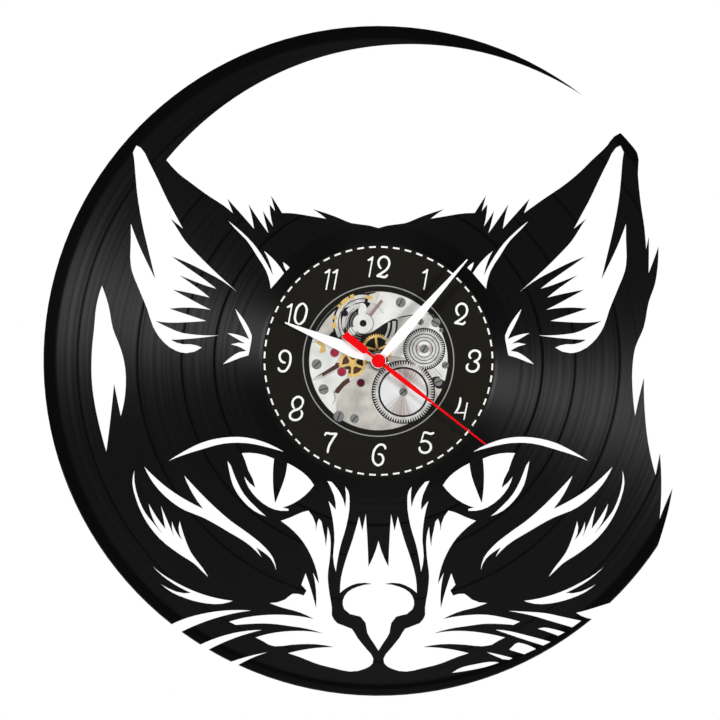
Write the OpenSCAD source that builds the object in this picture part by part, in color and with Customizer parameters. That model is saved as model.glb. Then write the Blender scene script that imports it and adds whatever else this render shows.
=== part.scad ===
// Wall clock cut from a long-playing record: a cat's face under a crescent moon,
// a printed dial in the middle, three hands and a battery movement behind it.
// The front faces -Y, X is to the right and Z is up. The hand axis is the Y axis
// and y = 0 is the wall, so every depth below is counted forward from the wall.

/* [Record] */
// Diameter of the record over its rim, mm
record_diameter = 301.6; // [200:0.1:420]
// Thickness of the record in the label area, mm
record_label_thickness = 2.2; // [1.5:0.1:4]
// Thickness of the record under the grooves, mm
record_groove_thickness = 1.7; // [1:0.1:3]
// Width of the raised bead at the rim, mm
rim_width = 5; // [2:0.5:8]
// Diameter of the spindle hole, mm
spindle_hole = 7.24; // [6.4:0.01:9]

/* [Dial] */
// Dial radius as a share of the record radius
dial_share = 0.347; // [0.3:0.001:0.37]
// Thickness of the dial label, mm
dial_thickness = 0.3; // [0.2:0.05:1]
// Thickness of one printed layer, mm
ink_thickness = 0.06; // [0.04:0.01:0.2]
// Width of a numeral's pen stroke, mm
numeral_stroke = 1; // [0.8:0.05:1.6]

/* [Hands] */
// Length of the hour hand from the axis, mm
hour_length = 45.4; // [30:0.1:50]
// Length of the minute hand from the axis, mm
minute_length = 60.5; // [40:0.1:70]
// Length of the second hand from the axis, mm
second_length = 60.8; // [40:0.1:70]
// Length of the second hand's tail, mm
second_tail = 19.4; // [12:0.1:25]
// Thickness of the sheet the hands are cut from, mm
hand_thickness = 0.4; // [0.3:0.05:0.8]
// Angle of the hour hand, degrees clockwise from twelve
hour_angle = 292.3; // [0:0.1:360]
// Angle of the minute hand, degrees clockwise from twelve
minute_angle = 41.2; // [0:0.1:360]
// Angle of the second hand, degrees clockwise from twelve
second_angle = 127.9; // [0:0.1:360]

/* [Movement case] */
// Width and height of the movement case, mm
case_size = 56; // [52:0.5:75]
// Depth of the movement case, mm
case_depth = 16; // [15.6:0.1:24]
// Thickness of the case side walls, mm
case_wall = 1.2; // [1:0.1:1.5]
// Diameter of the round battery cell, mm
cell_diameter = 14.5; // [13.5:0.1:14.6]
// Length of the battery cell over its button, mm
cell_length = 50.5; // [48:0.1:51]

/* [Gear train] */
// Teeth of the seconds, third and intermediate wheels
wheel_teeth = 60; // [60]
// Tooth width round the pitch circle as a share of the pitch
tooth_share = 0.42; // [0.36:0.01:0.45]
// Thickness of the wheels, mm
wheel_thickness = 0.6; // [0.4:0.05:0.9]

/* [Fixings] */
// Thickness of the sheet steel hanger, mm
hanger_thickness = 0.8; // [0.5:0.1:1.2]
// Radius of the hanger's round opening, mm
hanger_hole_r = 4.2; // [3.5:0.1:5]
// Thickness of the rubber gasket, mm
gasket_thickness = 1; // [0.5:0.1:2]
// Height of the clamping nut, mm
nut_height = 1.8; // [1.4:0.1:3]
// Width of the nut across its flats, mm
nut_flats = 8; // [7.6:0.1:10]

/* [Hidden] */

$fn = 96;
running_gap = 0.1;      // round a shaft that turns in a pipe or a hole
pivot_gap = 0.06;       // round a pivot in its blind hole
end_shake = 0.2;        // along a shaft between its bearings
stack_gap = 0.5;        // between one hand and the next
loose_fit = 0.15;       // between moulded pieces that slip together

record_r = record_diameter / 2;
scale_k = record_r / 150.8;
dial_r = record_r * dial_share;
print_r = dial_r * 0.605;
numeral_r = dial_r * 0.808;
dash_r = dial_r * 0.98;
ring_r = dial_r * 0.648;

front_wall = 1.4;
cover_thickness = 1.6;
half_case = case_size / 2;
inner_half = half_case - case_wall;
floor_y = -case_depth + front_wall;
bay_gap = 0.4;
bay_height = cell_diameter + 2 * bay_gap;
bay_top = -inner_half + bay_height;
partition_z = bay_top + case_wall;
cell_z = -inner_half + bay_gap + cell_diameter / 2;
cell_y = -(cell_diameter / 2 + 0.3);

post_r = 3;
hanger_back = -case_depth;
gasket_back = hanger_back - hanger_thickness;
record_back = gasket_back - gasket_thickness;
record_front = record_back - record_label_thickness;
dial_front = record_front - dial_thickness;
washer_thickness = 0.4;
washer_back = dial_front - 4 * ink_thickness;
nut_back = washer_back - washer_thickness;
post_end = nut_back - nut_height - 0.3;
hub_height = 0.5;
hour_back = post_end - stack_gap + end_shake;
hour_front = hour_back - hub_height - hand_thickness;
minute_back = hour_front - stack_gap;
minute_front = minute_back - hub_height - hand_thickness;
second_back = minute_front - stack_gap;
second_front = second_back - 1.4;

hour_pipe_r = 2;
minute_pipe_r = 1.4;
seconds_arbor_r = 0.4;
pivot_r = 0.3;
pivot_depth = 0.8;

// Gear train: each distance is the sum of the two pitch radii in the mesh.
addendum = 0.8;
dedendum = 1.2;
centre_teeth = 64;
third_leaves = 8;
seconds_leaves = 8;
intermediate_leaves = 10;
rotor_leaves = 12;
cannon_leaves = 12;
motion_teeth = 36;
motion_leaves = 10;
hour_teeth = 40;
third_distance = 10.2;
motion_distance = 11;
intermediate_distance = 10.5;
rotor_distance = 9;
third_module = 2 * third_distance / (wheel_teeth + seconds_leaves);
centre_module = 2 * third_distance / (centre_teeth + third_leaves);
motion_module = 2 * motion_distance / (cannon_leaves + motion_teeth);
hour_module = 2 * motion_distance / (hour_teeth + motion_leaves);
intermediate_module = 2 * intermediate_distance / (wheel_teeth + intermediate_leaves);
rotor_module = 2 * rotor_distance / (wheel_teeth + rotor_leaves);
third_at = polar(third_distance, 5);
motion_at = polar(motion_distance, 170);
intermediate_at = polar(intermediate_distance, 80);
rotor_at = intermediate_at + polar(rotor_distance, 20);

// Depths of the train's layers, counted from the case floor towards the wall.
hour_wheel_y = floor_y + 0.3;
cannon_y = hour_wheel_y + 1.1;
centre_y = cannon_y + 1.6;
third_y = centre_y + 1.7;
seconds_y = third_y + 1.9;
intermediate_y = seconds_y + 1.8;
magnet_y = intermediate_y + 1.3;
stator_y = magnet_y + 0.5;
stator_thickness = 1;
core_thickness = 1.2;
cover_in = -cover_thickness;
knob_floor_y = -4;
boss_height = 0.8;

// Magnetic circuit and board, placed from the rotor and the case walls.
bar_half = 2.2;
leg_left = -10.5;
leg_right = 19.5;
coil_z = 22;
core_half = 1.2;
coil_y = stator_y - core_thickness / 2;
flange_half = 3.2;
board_y = -5.4;
board_thickness = 0.8;
board_left = -26;
strip = 0.3;

// ---------------------------------------------------------------- functions

function polar(r, a) = [r * cos(a), r * sin(a)];
function unit(v) = v / norm(v);
function xy(p) = [p[0], p[1]];
function is_tip(p) = len(p) == 3;
function mirrored(points) = [
    for (i = [len(points) - 1:-1:0])
        is_tip(points[i]) ? [-points[i][0], points[i][1], 1] : [-points[i][0], points[i][1]]
];
// Direction of the circle through three points, taken at the middle one.
function through(a, b, c) =
    unit(unit(b - a) * norm(c - b) + unit(c - b) * norm(b - a));
function flip_about(t, chord) = 2 * (t * chord) * chord - t;
// A smooth arc from p to q, with its end directions t and u.
function hermite(p, q, t, u, s) =
    (2 * s * s * s - 3 * s * s + 1) * p + (s * s * s - 2 * s * s + s) * t
    + (3 * s * s - 2 * s * s * s) * q + (s * s * s - s * s) * u;
function arc_piece(a, p, q, b, step) =
    let(
        chord = xy(q) - xy(p),
        far = norm(chord),
        dir = chord / far,
        inner_t = is_tip(p) ? undef : through(xy(a), xy(p), xy(q)),
        inner_u = is_tip(q) ? undef : through(xy(p), xy(q), xy(b)),
        t = is_tip(p) ? (is_tip(q) ? dir : flip_about(inner_u, dir)) : inner_t,
        u = is_tip(q) ? (is_tip(p) ? dir : flip_about(inner_t, dir)) : inner_u,
        n = (is_tip(p) && is_tip(q)) ? 1 : max(1, ceil(far / step))
    )
    [for (i = [0:n - 1]) hermite(xy(p), xy(q), t * far, u * far, i / n)];
// Closed outline through the points; a third entry marks a sharp tip.
function outline(points, step = 4) = [
    for (i = [0:len(points) - 1])
        each arc_piece(
            points[(i + len(points) - 1) % len(points)],
            points[i],
            points[(i + 1) % len(points)],
            points[(i + 2) % len(points)],
            step
        )
];
// Open pen stroke through the points, rounded off a little at both ends.
function pen_line(points, step) = [
    for (i = [0:len(points) - 2])
        each arc_piece(
            i == 0 ? points[0] : points[i - 1],
            i == 0 ? [points[0][0], points[0][1], 1] : points[i],
            i == len(points) - 2 ? [points[i + 1][0], points[i + 1][1], 1] : points[i + 1],
            i == len(points) - 2 ? points[i + 1] : points[i + 2],
            step
        ),
    xy(points[len(points) - 1])
];
function side(line, i, h) =
    let(
        a = line[max(0, i - 1)],
        b = line[min(len(line) - 1, i + 1)],
        d = unit(b - a),
        last = len(line) - 1,
        w = (i == 0 || i == last) ? 0.62 * h : h
    )
    line[i] + w * [-d[1], d[0]];
function ribbon(points, h, step = 1.3) =
    let(line = pen_line(points, step))
    concat(
        [for (i = [0:len(line) - 1]) side(line, i, h)],
        [for (i = [len(line) - 1:-1:0]) side(line, i, -h)]
    );
// Points of a circular arc through a, b and c.
function circle_centre(a, b, c) =
    let(
        d = 2 * (a[0] * (b[1] - c[1]) + b[0] * (c[1] - a[1]) + c[0] * (a[1] - b[1])),
        ux = (a * a) * (b[1] - c[1]) + (b * b) * (c[1] - a[1]) + (c * c) * (a[1] - b[1]),
        uz = (a * a) * (c[0] - b[0]) + (b * b) * (a[0] - c[0]) + (c * c) * (b[0] - a[0])
    )
    [ux / d, uz / d];
function arc_through(a, b, c, n) =
    let(
        m = circle_centre(a, b, c),
        r = norm(a - m),
        p = atan2(a[1] - m[1], a[0] - m[0]),
        q = atan2(c[1] - m[1], c[0] - m[0])
    )
    [for (i = [0:n]) m + polar(r, p + (q - p) * i / n)];

function inv(a) = tan(a) * 180 / PI - a;
function tooth_half(teeth, m, share, r) =
    let(
        pitch_r = teeth * m / 2,
        base_r = pitch_r * cos(20),
        a = acos(min(1, base_r / max(r, base_r)))
    )
    180 / teeth * share + inv(20) - inv(a);
// Involute tooth form with straight chords: root, flank, tip.
function gear_points(teeth, m, phase, share = tooth_share) =
    let(
        pitch_r = teeth * m / 2,
        tip_r = pitch_r + addendum * m,
        root_r = pitch_r - dedendum * m,
        low_r = max(root_r + 0.15 * m, pitch_r * cos(20))
    )
    [
        for (i = [0:teeth - 1])
            let(a = phase + i * 360 / teeth)
            each [
                polar(root_r, a - tooth_half(teeth, m, share, low_r)),
                polar(low_r, a - tooth_half(teeth, m, share, low_r)),
                polar(pitch_r, a - tooth_half(teeth, m, share, pitch_r)),
                polar(tip_r, a - tooth_half(teeth, m, share, tip_r)),
                polar(tip_r, a + tooth_half(teeth, m, share, tip_r)),
                polar(pitch_r, a + tooth_half(teeth, m, share, pitch_r)),
                polar(low_r, a + tooth_half(teeth, m, share, low_r)),
                polar(root_r, a + tooth_half(teeth, m, share, low_r))
            ]
    ];
function bearing(a, b) = atan2(b[1] - a[1], b[0] - a[0]);

// ------------------------------------------------------------ shape helpers

// Everything below is drawn in the X-Z plane and stands between two depths.
module slab(y0, y1) {
    translate([0, max(y0, y1), 0])
        rotate([90, 0, 0])
            linear_extrude(abs(y1 - y0))
                children();
}

module pin(at, y0, y1, r) {
    translate([at[0], max(y0, y1), at[1]])
        rotate([90, 0, 0])
            cylinder(h = abs(y1 - y0), r = r);
}

module gear(at, y0, y1, teeth, m, phase) {
    slab(y0, y1)
        translate(at)
            polygon(gear_points(teeth, m, phase));
}

module box(x0, x1, y0, y1, z0, z1) {
    translate([x0, y0, z0])
        cube([x1 - x0, y1 - y0, z1 - z0]);
}

module rounded(half_x, z0, z1, r) {
    translate([-half_x + r, z0])
        square([2 * (half_x - r), z1 - z0]);
    translate([-half_x, z0 + r])
        square([2 * half_x, z1 - z0 - 2 * r]);
    for (x = [-half_x + r, half_x - r], z = [z0 + r, z1 - r])
        translate([x, z])
            circle(r = r);
}

// --------------------------------------------------------- record cut-outs
// All points are in millimetres on a 301.6 mm record and grow with it.

ear_gap = [
    [-109, 97, 1], [-107, 96], [-103.5, 90], [-99.5, 82], [-94.5, 71.5], [-91.5, 66],
    [-88, 59.5, 1], [-93.5, 64, 1], [-91.5, 61], [-87, 54], [-81.5, 48], [-76, 42.5],
    [-68.5, 35.5], [-63.5, 31, 1], [-69.5, 35.5], [-79.5, 41], [-84.5, 43.5],
    [-93, 47, 1], [-86, 42], [-79.5, 37.5], [-73, 32.5, 1], [-76.5, 33.5], [-84.5, 36.5],
    [-89.5, 38.5, 1], [-84.5, 35], [-79, 31], [-76, 28.5, 1], [-84.5, 30.5],
    [-92.5, 32, 1], [-86, 28.5], [-79.5, 25], [-75.5, 23, 1], [-84.5, 24],
    [-94, 23.5, 1], [-88, 21.5], [-77.5, 18, 1], [-84.5, 17.5], [-97.5, 17.5],
    [-100.5, 18, 1], [-94.5, 15], [-88, 12.5], [-84.5, 12], [-72, 11.5, 1],
    [-84.5, 10], [-93.5, 9.5, 1], [-88, 7.5], [-84.5, 7.5], [-79.5, 6, 1],
    [-86.5, 3.5], [-91, 4.5], [-98.5, 10.5], [-101.5, 15.5], [-104, 23],
    [-108.5, 34], [-111, 40.5], [-111.5, 43], [-111.5, 55], [-111.5, 62, 1],
    [-107.5, 51.5], [-102.5, 41], [-100.5, 37, 1], [-103.5, 49.5], [-106, 60],
    [-108.5, 74.5], [-109.5, 85], [-110, 91], [-110.5, 94]
];
cheek_gap = [
    [-124.5, 34, 1], [-121.5, 25], [-119.5, 14.5], [-116, 5.5], [-114.5, 0], [-114, -15],
    [-116, -25, 1], [-117.5, -18], [-119, -10.5, 1], [-120.5, -25], [-122.5, -41, 1],
    [-125.5, -30], [-128, -18], [-129, -10], [-129, 5], [-128, 15], [-127, 25]
];
temple_slit = [
    [-67.5, 63, 1], [-61.5, 58], [-56.5, 53], [-52.5, 47.5], [-49, 41.5], [-47.5, 38.5, 1],
    [-49.5, 45.5], [-51.5, 49.5, 1], [-48, 46.5], [-42.5, 39.5, 1], [-45, 36.5],
    [-48.5, 32.5, 1], [-50.5, 40.5], [-54.5, 47], [-59.5, 54.5], [-64.5, 59.5]
];
temple_speck = [[-43, 44.5, 1], [-41.5, 43.5], [-40, 42, 1], [-41.5, 40.5, 1], [-42.5, 42.5]];
forehead_mark = [
    [-64.5, 23.5, 1], [-62, 20.5], [-58.5, 15], [-57, 11.5], [-57.5, 7.5], [-58.5, 2.5, 1],
    [-62, 1.5], [-67, -0.5], [-70, -1.5, 1], [-66, 2], [-62.5, 4], [-59.5, 4.5, 1],
    [-63, 6.5], [-66.5, 7.5, 1], [-63, 8.2], [-60, 7.8, 1], [-63.5, 9.8], [-68, 12.5, 1],
    [-63.5, 11.8], [-58.2, 9.8, 1], [-60, 13.5], [-62.5, 18.5]
];
brow_slit = [
    [-94.5, -45, 1], [-88, -41], [-79.5, -36.8], [-69.5, -34.5], [-59.5, -34.5],
    [-49.5, -37.3], [-42.5, -41, 1], [-49.5, -39], [-59.5, -37], [-69.5, -37.2],
    [-79.5, -39.8], [-89.5, -43]
];
eye_gap = [
    [-61.5, -41.5, 1], [-54.5, -41.7], [-47, -44, 1], [-47.5, -51], [-46.5, -64, 1],
    [-44.5, -59], [-42, -52], [-41, -46, 1], [-36.5, -48.5], [-32, -52], [-29, -56, 1],
    [-33, -60.5], [-38, -64], [-43, -66, 1], [-40.5, -66.6, 1], [-40.5, -67.5, 1],
    [-44, -67.5], [-49, -66], [-54.5, -62], [-58.5, -57], [-60.5, -52, 1], [-58, -55],
    [-55.5, -57, 1], [-56.6, -53.2], [-58.5, -49.5], [-60, -45]
];
lower_lid_slit = [
    [-68, -45, 1], [-66.5, -47], [-65.2, -50.5], [-63.3, -55], [-60.5, -60], [-56, -65],
    [-50.5, -70, 1], [-56, -67.5], [-61, -63], [-65.5, -56], [-67, -50.5]
];
muzzle_side_slit = [
    [-23, -54, 1], [-21, -54.5], [-18.5, -57.5], [-16, -62], [-15, -66, 1], [-14.6, -62],
    [-15, -56.5, 1], [-13.6, -58.5], [-13, -63], [-14.5, -74.5], [-17, -83],
    [-19.2, -95, 1], [-20.4, -88], [-19.8, -81], [-20.2, -74], [-22.5, -63, 1],
    [-19.2, -67, 1], [-20, -60.5], [-21.5, -57]
];
nose_half = [
    [0, -81, 1], [-2.5, -88.5], [-4.5, -92.5, 1], [-5, -80], [-5.7, -69, 1],
    [-7.3, -76.5, 1], [-8.7, -70, 1], [-11.5, -80], [-15, -90.5], [-16.8, -97.5],
    [-17.3, -104.5, 1], [-14, -102], [-9.5, -100.2], [-3, -100.4, 1], [-9.5, -101.7],
    [-13.8, -104], [-16, -107.8], [-15.4, -111.8], [-12.8, -114], [-8, -115.2],
    [-5.8, -118], [-5, -122.5], [-2.2, -127], [0, -130.5, 1]
];
fur_gap = [
    [-109.8, -49, 1], [-110.8, -55], [-109.3, -61.7], [-104.3, -72.7], [-98.7, -79.8],
    [-89.3, -87.2], [-82.6, -91.6], [-79.6, -94.5], [-76.5, -97.5, 1], [-79, -93.4],
    [-82, -89.6], [-84.5, -86], [-86.5, -81.5],
    [-88.5, -75.5], [-89.5, -72, 1], [-90, -75], [-88.5, -80.5, 1], [-91, -77],
    [-93, -72, 1], [-93, -75], [-92, -79, 1], [-95, -72], [-98, -65, 1], [-97, -70],
    [-96, -75.5, 1], [-100, -70], [-103.5, -64, 1], [-102, -70], [-97.5, -77.5, 1],
    [-101.3, -73], [-105, -68.3], [-108.3, -61], [-109.8, -54.5]
];
cheek_stroke = [
    [-105.5, -47.5, 1], [-101, -52], [-94.5, -57.5], [-85, -63.5], [-79, -66.5, 1],
    [-83.5, -60], [-87.5, -51.5, 1], [-81.5, -58], [-74.5, -65], [-66.5, -72],
    [-59.5, -77], [-51, -84], [-47.5, -88.5], [-46, -94.5, 1], [-48.5, -89],
    [-52, -86], [-55, -84, 1], [-52.5, -88.5, 1], [-58, -83], [-67.5, -77],
    [-78, -71], [-89.5, -66], [-96, -61], [-101, -55.5]
];
jaw_slit = [
    [-102.5, -91.5, 1], [-98, -95.5], [-91.5, -99.5], [-84.5, -103], [-76, -106],
    [-65.5, -108, 1], [-67, -108.6], [-80.5, -108.7], [-86.5, -107], [-93, -104.2],
    [-98.5, -100, 1], [-94.5, -102.4], [-87.5, -104.6], [-84.5, -104.4, 1],
    [-92, -100.5], [-97, -97]
];
whisker_slits_left = [
    [
        [-98, -124, 1], [-94, -119, 1], [-89.5, -116.9], [-79.5, -113.9], [-69.5, -112.4],
        [-57, -112.4, 1], [-67, -114.1], [-77, -117], [-89.5, -122.4, 1], [-93, -128, 1]
    ],
    [
        [-84, -132.5, 1], [-80.8, -128, 1], [-72, -124.4], [-62, -121.9],
        [-52.2, -121.1, 1], [-62, -123.8], [-76.8, -130.2, 1], [-79.5, -135, 1]
    ],
    [
        [-69, -140, 1], [-66.3, -135.4, 1], [-58.5, -133], [-49.3, -131, 1],
        [-57, -133.8], [-63.4, -137.1, 1], [-66, -142, 1]
    ]
];
whisker_slits_right = [
    [
        [58, -112.5, 1], [68.5, -113], [75.5, -113.6], [82, -115], [91.4, -117, 1],
        [87.3, -120, 1], [78.5, -117.4], [68.5, -114.5]
    ],
    [
        [71.5, -120.5, 1], [74.5, -120], [79, -120.8], [84, -122.2, 1], [81, -123.8, 1],
        [75, -121.6]
    ],
    [
        [52.5, -121, 1], [56, -121.2], [67, -123.6], [77.6, -126.5, 1], [74.2, -128.2, 1],
        [64.3, -125], [56, -122.2]
    ],
    [
        [58.8, -130, 1], [61.6, -127.3], [63, -126.8, 1], [67, -127.8], [71, -129.7, 1],
        [65.7, -132.1, 1], [62, -131]
    ],
    [[48.7, -131, 1], [54.7, -132.3], [60.5, -133.8, 1], [59, -134.6], [53.3, -133.2]],
    [
        [33, -140.5, 1], [35.6, -138.8], [43.8, -136.5], [52.7, -135.5],
        [54.5, -135.8, 1], [48, -137.9], [42.4, -139.1]
    ]
];
// Cheek with the whisker tongues; the two tongue ends differ from side to side.
function whisker_gap(upper, lower) = [
    [-44, -72, 1], [-39, -70.2], [-34, -68], [-31.5, -67.4], [-29.6, -70], [-28, -76.5, 1],
    [-27.4, -72.5], [-26.8, -71], [-24.9, -76], [-23.7, -83.5, 1], [-23, -77.5],
    [-22.8, -74.6, 1], [-21.7, -79], [-21.8, -88], [-22.8, -97], [-22, -105],
    [-21, -111], [-21, -114.5], [-18.5, -118.1], [-12, -120.6], [-9.5, -124.6],
    [-5.2, -129.9], [-2.3, -134], [-2.6, -136.2], [-6, -138.6], [-12.5, -139.9],
    [-19.5, -138.5], [-28, -136.3], [-35.6, -133.3], [-40.8, -131.6, 1],
    [-31.3, -129.6], [-20.4, -128.8, 1], [-28, -127.6], [-39, -127.8],
    [-46.8, -128.5], [-lower + 6, -127.8, 1], [-lower + 3, -126], [-lower, -124.5, 1],
    [-49.3, -122.8], [-39.3, -121.6], [-31.3, -121.7], [-25.3, -122.6, 1],
    [-32.2, -120.6], [-39.3, -119.5], [-49.3, -118.3], [-upper + 8, -118.5],
    [-upper + 3, -118.9, 1], [-upper, -117.4, 1], [-upper + 8, -115.4],
    [-49.3, -114.3], [-39.3, -114.5], [-29.3, -116.1, 1], [-35.6, -113.2],
    [-44.3, -110.8], [-49.1, -109, 1], [-42, -107.4], [-38.6, -104.8],
    [-36, -104.9], [-33.6, -105.6], [-32.4, -103.4], [-34.7, -100.8, 1],
    [-32.8, -95.6, 1], [-31.1, -100.5], [-28.1, -111.2, 1], [-28.1, -103.5],
    [-29.5, -95.2, 1], [-26.8, -100.3, 1], [-28.5, -92.4], [-30.8, -86.8],
    [-35.2, -79.8], [-40, -75]
];
head_top_half = [
    [-95.5, 90.5, 1], [-89.5, 84], [-84.5, 80.2], [-76, 74], [-69.5, 69.8],
    [-65.5, 66.5, 1], [-68, 73, 1], [-63.5, 68], [-59.5, 63.5], [-56, 59.5, 1],
    [-57, 65], [-58.5, 70.5, 1], [-55, 65.2], [-49.5, 57.5, 1], [-51, 63],
    [-52, 67.5, 1], [-49.5, 63.5], [-47.5, 60.5, 1], [-48.6, 66], [-49, 70.5, 1],
    [-46.5, 67.4, 1], [-48.4, 74.4, 1], [-45.8, 70.5], [-43.4, 66.6, 1],
    [-39.5, 66.5], [-29.5, 65], [-23.5, 64, 1], [-26, 66], [-29.5, 68.3, 1],
    [-19.5, 65], [-12, 62], [-4.5, 61], [0, 59.8, 1]
];
right_ear_edge = [
    [76, 74], [82, 78], [90.7, 85], [96, 90.3], [103, 97], [106, 101], [108.9, 102.6, 1],
    [113.3, 97.8], [116.5, 93.5], [116.8, 84], [118.2, 70], [119.7, 60], [120.5, 50, 1],
    [121.7, 55.7, 1], [121.7, 47], [121.6, 39.3, 1], [124, 45.5], [126, 51.3, 1],
    [125.6, 41.7], [124.5, 34.7], [121.7, 26.7], [119.4, 15], [115.6, 6],
    [114.3, -3.3], [114.5, -15], [115.6, -25, 1], [117.5, -16], [119.5, -7.8, 1],
    [119.8, -21.6], [122.1, -40.8], [124.8, -51.6, 1], [126.7, -41.8, 1],
    [127.3, -60], [126.5, -71.6, 1], [129.8, -63.3], [132.3, -57.7, 1],
    [130.4, -67.4], [127.7, -77], [125.5, -84, 1], [170, -90, 1], [170, 150, 1]
];
jaw_notch = [
    [109, -113, 1], [103.9, -109, 1], [100.7, -110], [91.5, -112.8], [89, -113.4, 1],
    [93.9, -115.8], [95.9, -116.2, 1], [100, -122, 1]
];
moon_corner = [-95.5, 90.5];
moon_inside = [0.7, 142];
moon_tip = [94, 118.2];
moon_clear = [112, 120];

module opening(points) {
    slab(record_back + 1, record_front - 1)
        scale([scale_k, scale_k])
            polygon(outline(points));
}

module both_sides(points) {
    opening(points);
    opening(mirrored(points));
}

module moon_opening() {
    head = outline(concat(
        head_top_half,
        [for (i = [31:-1:5]) mirrored(head_top_half)[32 - i]],
        right_ear_edge
    ));
    moon = arc_through(moon_tip, moon_inside, moon_corner, 64);
    slab(record_back + 1, record_front - 1)
        scale([scale_k, scale_k])
            polygon(concat(head, [moon_clear], [for (i = [0:63]) moon[i]]));
}

module record_plate() {
    mid = (record_back + record_front) / 2;
    bead = record_label_thickness / 2;
    thin = record_groove_thickness / 2;
    difference() {
        translate([0, mid, 0])
            rotate([90, 0, 0])
                rotate_extrude($fn = 60)
                    polygon([
                        [spindle_hole / 2, -bead],
                        [dial_r, -bead],
                        [dial_r + 1.5, -thin],
                        [record_r - rim_width, -thin],
                        [record_r - rim_width + 2, -bead],
                        [record_r - 0.6, -bead],
                        [record_r, -bead + 0.6],
                        [record_r, bead - 0.6],
                        [record_r - 0.6, bead],
                        [record_r - rim_width + 2, bead],
                        [record_r - rim_width, thin],
                        [dial_r + 1.5, thin],
                        [dial_r, bead],
                        [spindle_hole / 2, bead]
                    ]);
        moon_opening();
        both_sides(ear_gap);
        opening(cheek_gap);
        both_sides(temple_slit);
        both_sides(temple_speck);
        both_sides(forehead_mark);
        both_sides(brow_slit);
        both_sides(eye_gap);
        both_sides(lower_lid_slit);
        both_sides(muzzle_side_slit);
        both_sides(fur_gap);
        both_sides(cheek_stroke);
        both_sides(jaw_slit);
        opening(concat(nose_half, [for (i = [1:22]) mirrored(nose_half)[i]]));
        opening(whisker_gap(67.3, 55.4));
        opening(mirrored(whisker_gap(63.8, 57.1)));
        for (slit = whisker_slits_left)
            opening(slit);
        for (slit = whisker_slits_right)
            opening(slit);
        opening(jaw_notch);
    }
}

// -------------------------------------------------------------------- dial

module dial_label() {
    difference() {
        pin([0, 0], record_front, dial_front, dial_r);
        pin([0, 0], record_front + 1, dial_front - 1, post_r + running_gap);
    }
}

module dial_marks() {
    dash_length = 3 * scale_k;
    dash_width = 0.75 * scale_k;
    slab(dial_front, dial_front - ink_thickness) {
        for (i = [0:59])
            rotate(6 * i + 3)
                translate([-dash_length / 2, dash_r - dash_width / 2])
                    square([dash_length, dash_width]);
        difference() {
            circle(r = ring_r + 0.25);
            circle(r = ring_r - 0.25);
        }
    }
}

// Pen strokes of each numeral about its own centre.
glyphs = [
    [
        [[0.9, 4.8], [2.4, 3.2], [2.3, -0.5], [0.8, -3.7], [-0.9, -4.8]],
        [[-0.9, -4.8], [-2.4, -3.3], [-2.4, 0.3], [-0.9, 3.7], [0.9, 4.8]]
    ],
    [[[1.3, 4.7], [-0.4, -4.6]], [[-1, 3], [0.1, 3.4], [1.3, 4.5]]],
    [
        [
            [-0.7, -0.8], [-1.9, 1], [-1.7, 3.2], [0.1, 4.6], [1.9, 4.2], [2.9, 2.2],
            [2.2, -0.5], [0.3, -2.2], [-2.8, -4]
        ],
        [[-2.9, -4.1], [-1.2, -4.2], [0.9, -4.6], [2.1, -3.4]]
    ],
    [
        [
            [-1, 1], [-1.8, 2.6], [-0.8, 4.2], [0.9, 4.7], [2.7, 3.9], [3, 2],
            [1.8, 0.4], [0.2, -0.3]
        ],
        [
            [0.2, -0.3], [1.9, -0.9], [2.4, -2.6], [1.3, -4.3], [-0.9, -4.8],
            [-2.7, -3.8], [-2.9, -2.2], [-2.1, -1.2]
        ]
    ],
    [
        [[-0.1, 4.7], [-0.5, 1.7], [-1.7, -1.2], [-2.5, -2.2]],
        [[-2.9, -2.2], [2.2, -2.2]],
        [[3, 2.4], [1.4, -5.4]]
    ],
    [
        [[3.9, 4.4], [2.3, 3.8], [0.7, 4.3], [-0.8, 4.4]],
        [[-0.7, 4.5], [-2.1, -0.2]],
        [
            [-2.2, 0], [-0.3, 0.6], [1.7, -0.2], [2.5, -2.3], [1.4, -4.2], [-0.7, -4.7],
            [-2.4, -3.7], [-2.6, -2]
        ]
    ],
    [[
        [3.1, 2.5], [2.7, 4.1], [1, 4.7], [-1.1, 3.3], [-2.4, 0.1], [-2.1, -3.2],
        [-0.4, -4.7], [1.5, -3.9], [2.2, -1.8], [1.4, 0], [-0.3, 0.3]
    ]],
    [
        [[-3, 3], [-2.5, 4.1], [-0.6, 3.8], [2.6, 4]],
        [[2.5, 4], [0.4, 1], [-1.2, -2], [-1.7, -4.8]]
    ],
    [
        [[-0.8, -0.4], [-1.8, 1.6], [-0.9, 4.2], [1.2, 5], [2.8, 3.7], [2.7, 1.5]],
        [
            [2.7, 1.5], [1.2, -0.4], [-1.1, -1.2], [-2.8, -2.7], [-2.7, -4.6],
            [-0.8, -5.5], [1.6, -4.7], [2.6, -2.7], [2, -1.1]
        ]
    ],
    [[
        [0.5, -0.9], [-1.4, -0.1], [-2.2, 2], [-1.3, 4], [0.6, 4.6], [2.3, 3.4],
        [2.7, 0.5], [1.7, -2.9], [-0.2, -4.7], [-2, -4.4], [-2.8, -2.9]
    ]]
];
hour_numbers = [
    [[1, -0.3]], [[2, 0.4]], [[3, 0.4]], [[4, 0.4]], [[5, 0]], [[6, 0]],
    [[7, 0]], [[8, -0.3]], [[9, 0]], [[1, -3.5], [0, 1.7]], [[1, -2], [1, 1.5]],
    [[1, -3.8], [2, 2]]
];

module numerals() {
    slab(dial_front, dial_front - ink_thickness)
        for (h = [1:12])
            translate(polar(numeral_r, 90 - 30 * h))
                scale([scale_k, scale_k])
                    for (digit = hour_numbers[h - 1], stroke = glyphs[digit[0]])
                        translate([digit[1], 0])
                            polygon(ribbon(stroke, numeral_stroke / 2));
}

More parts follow.
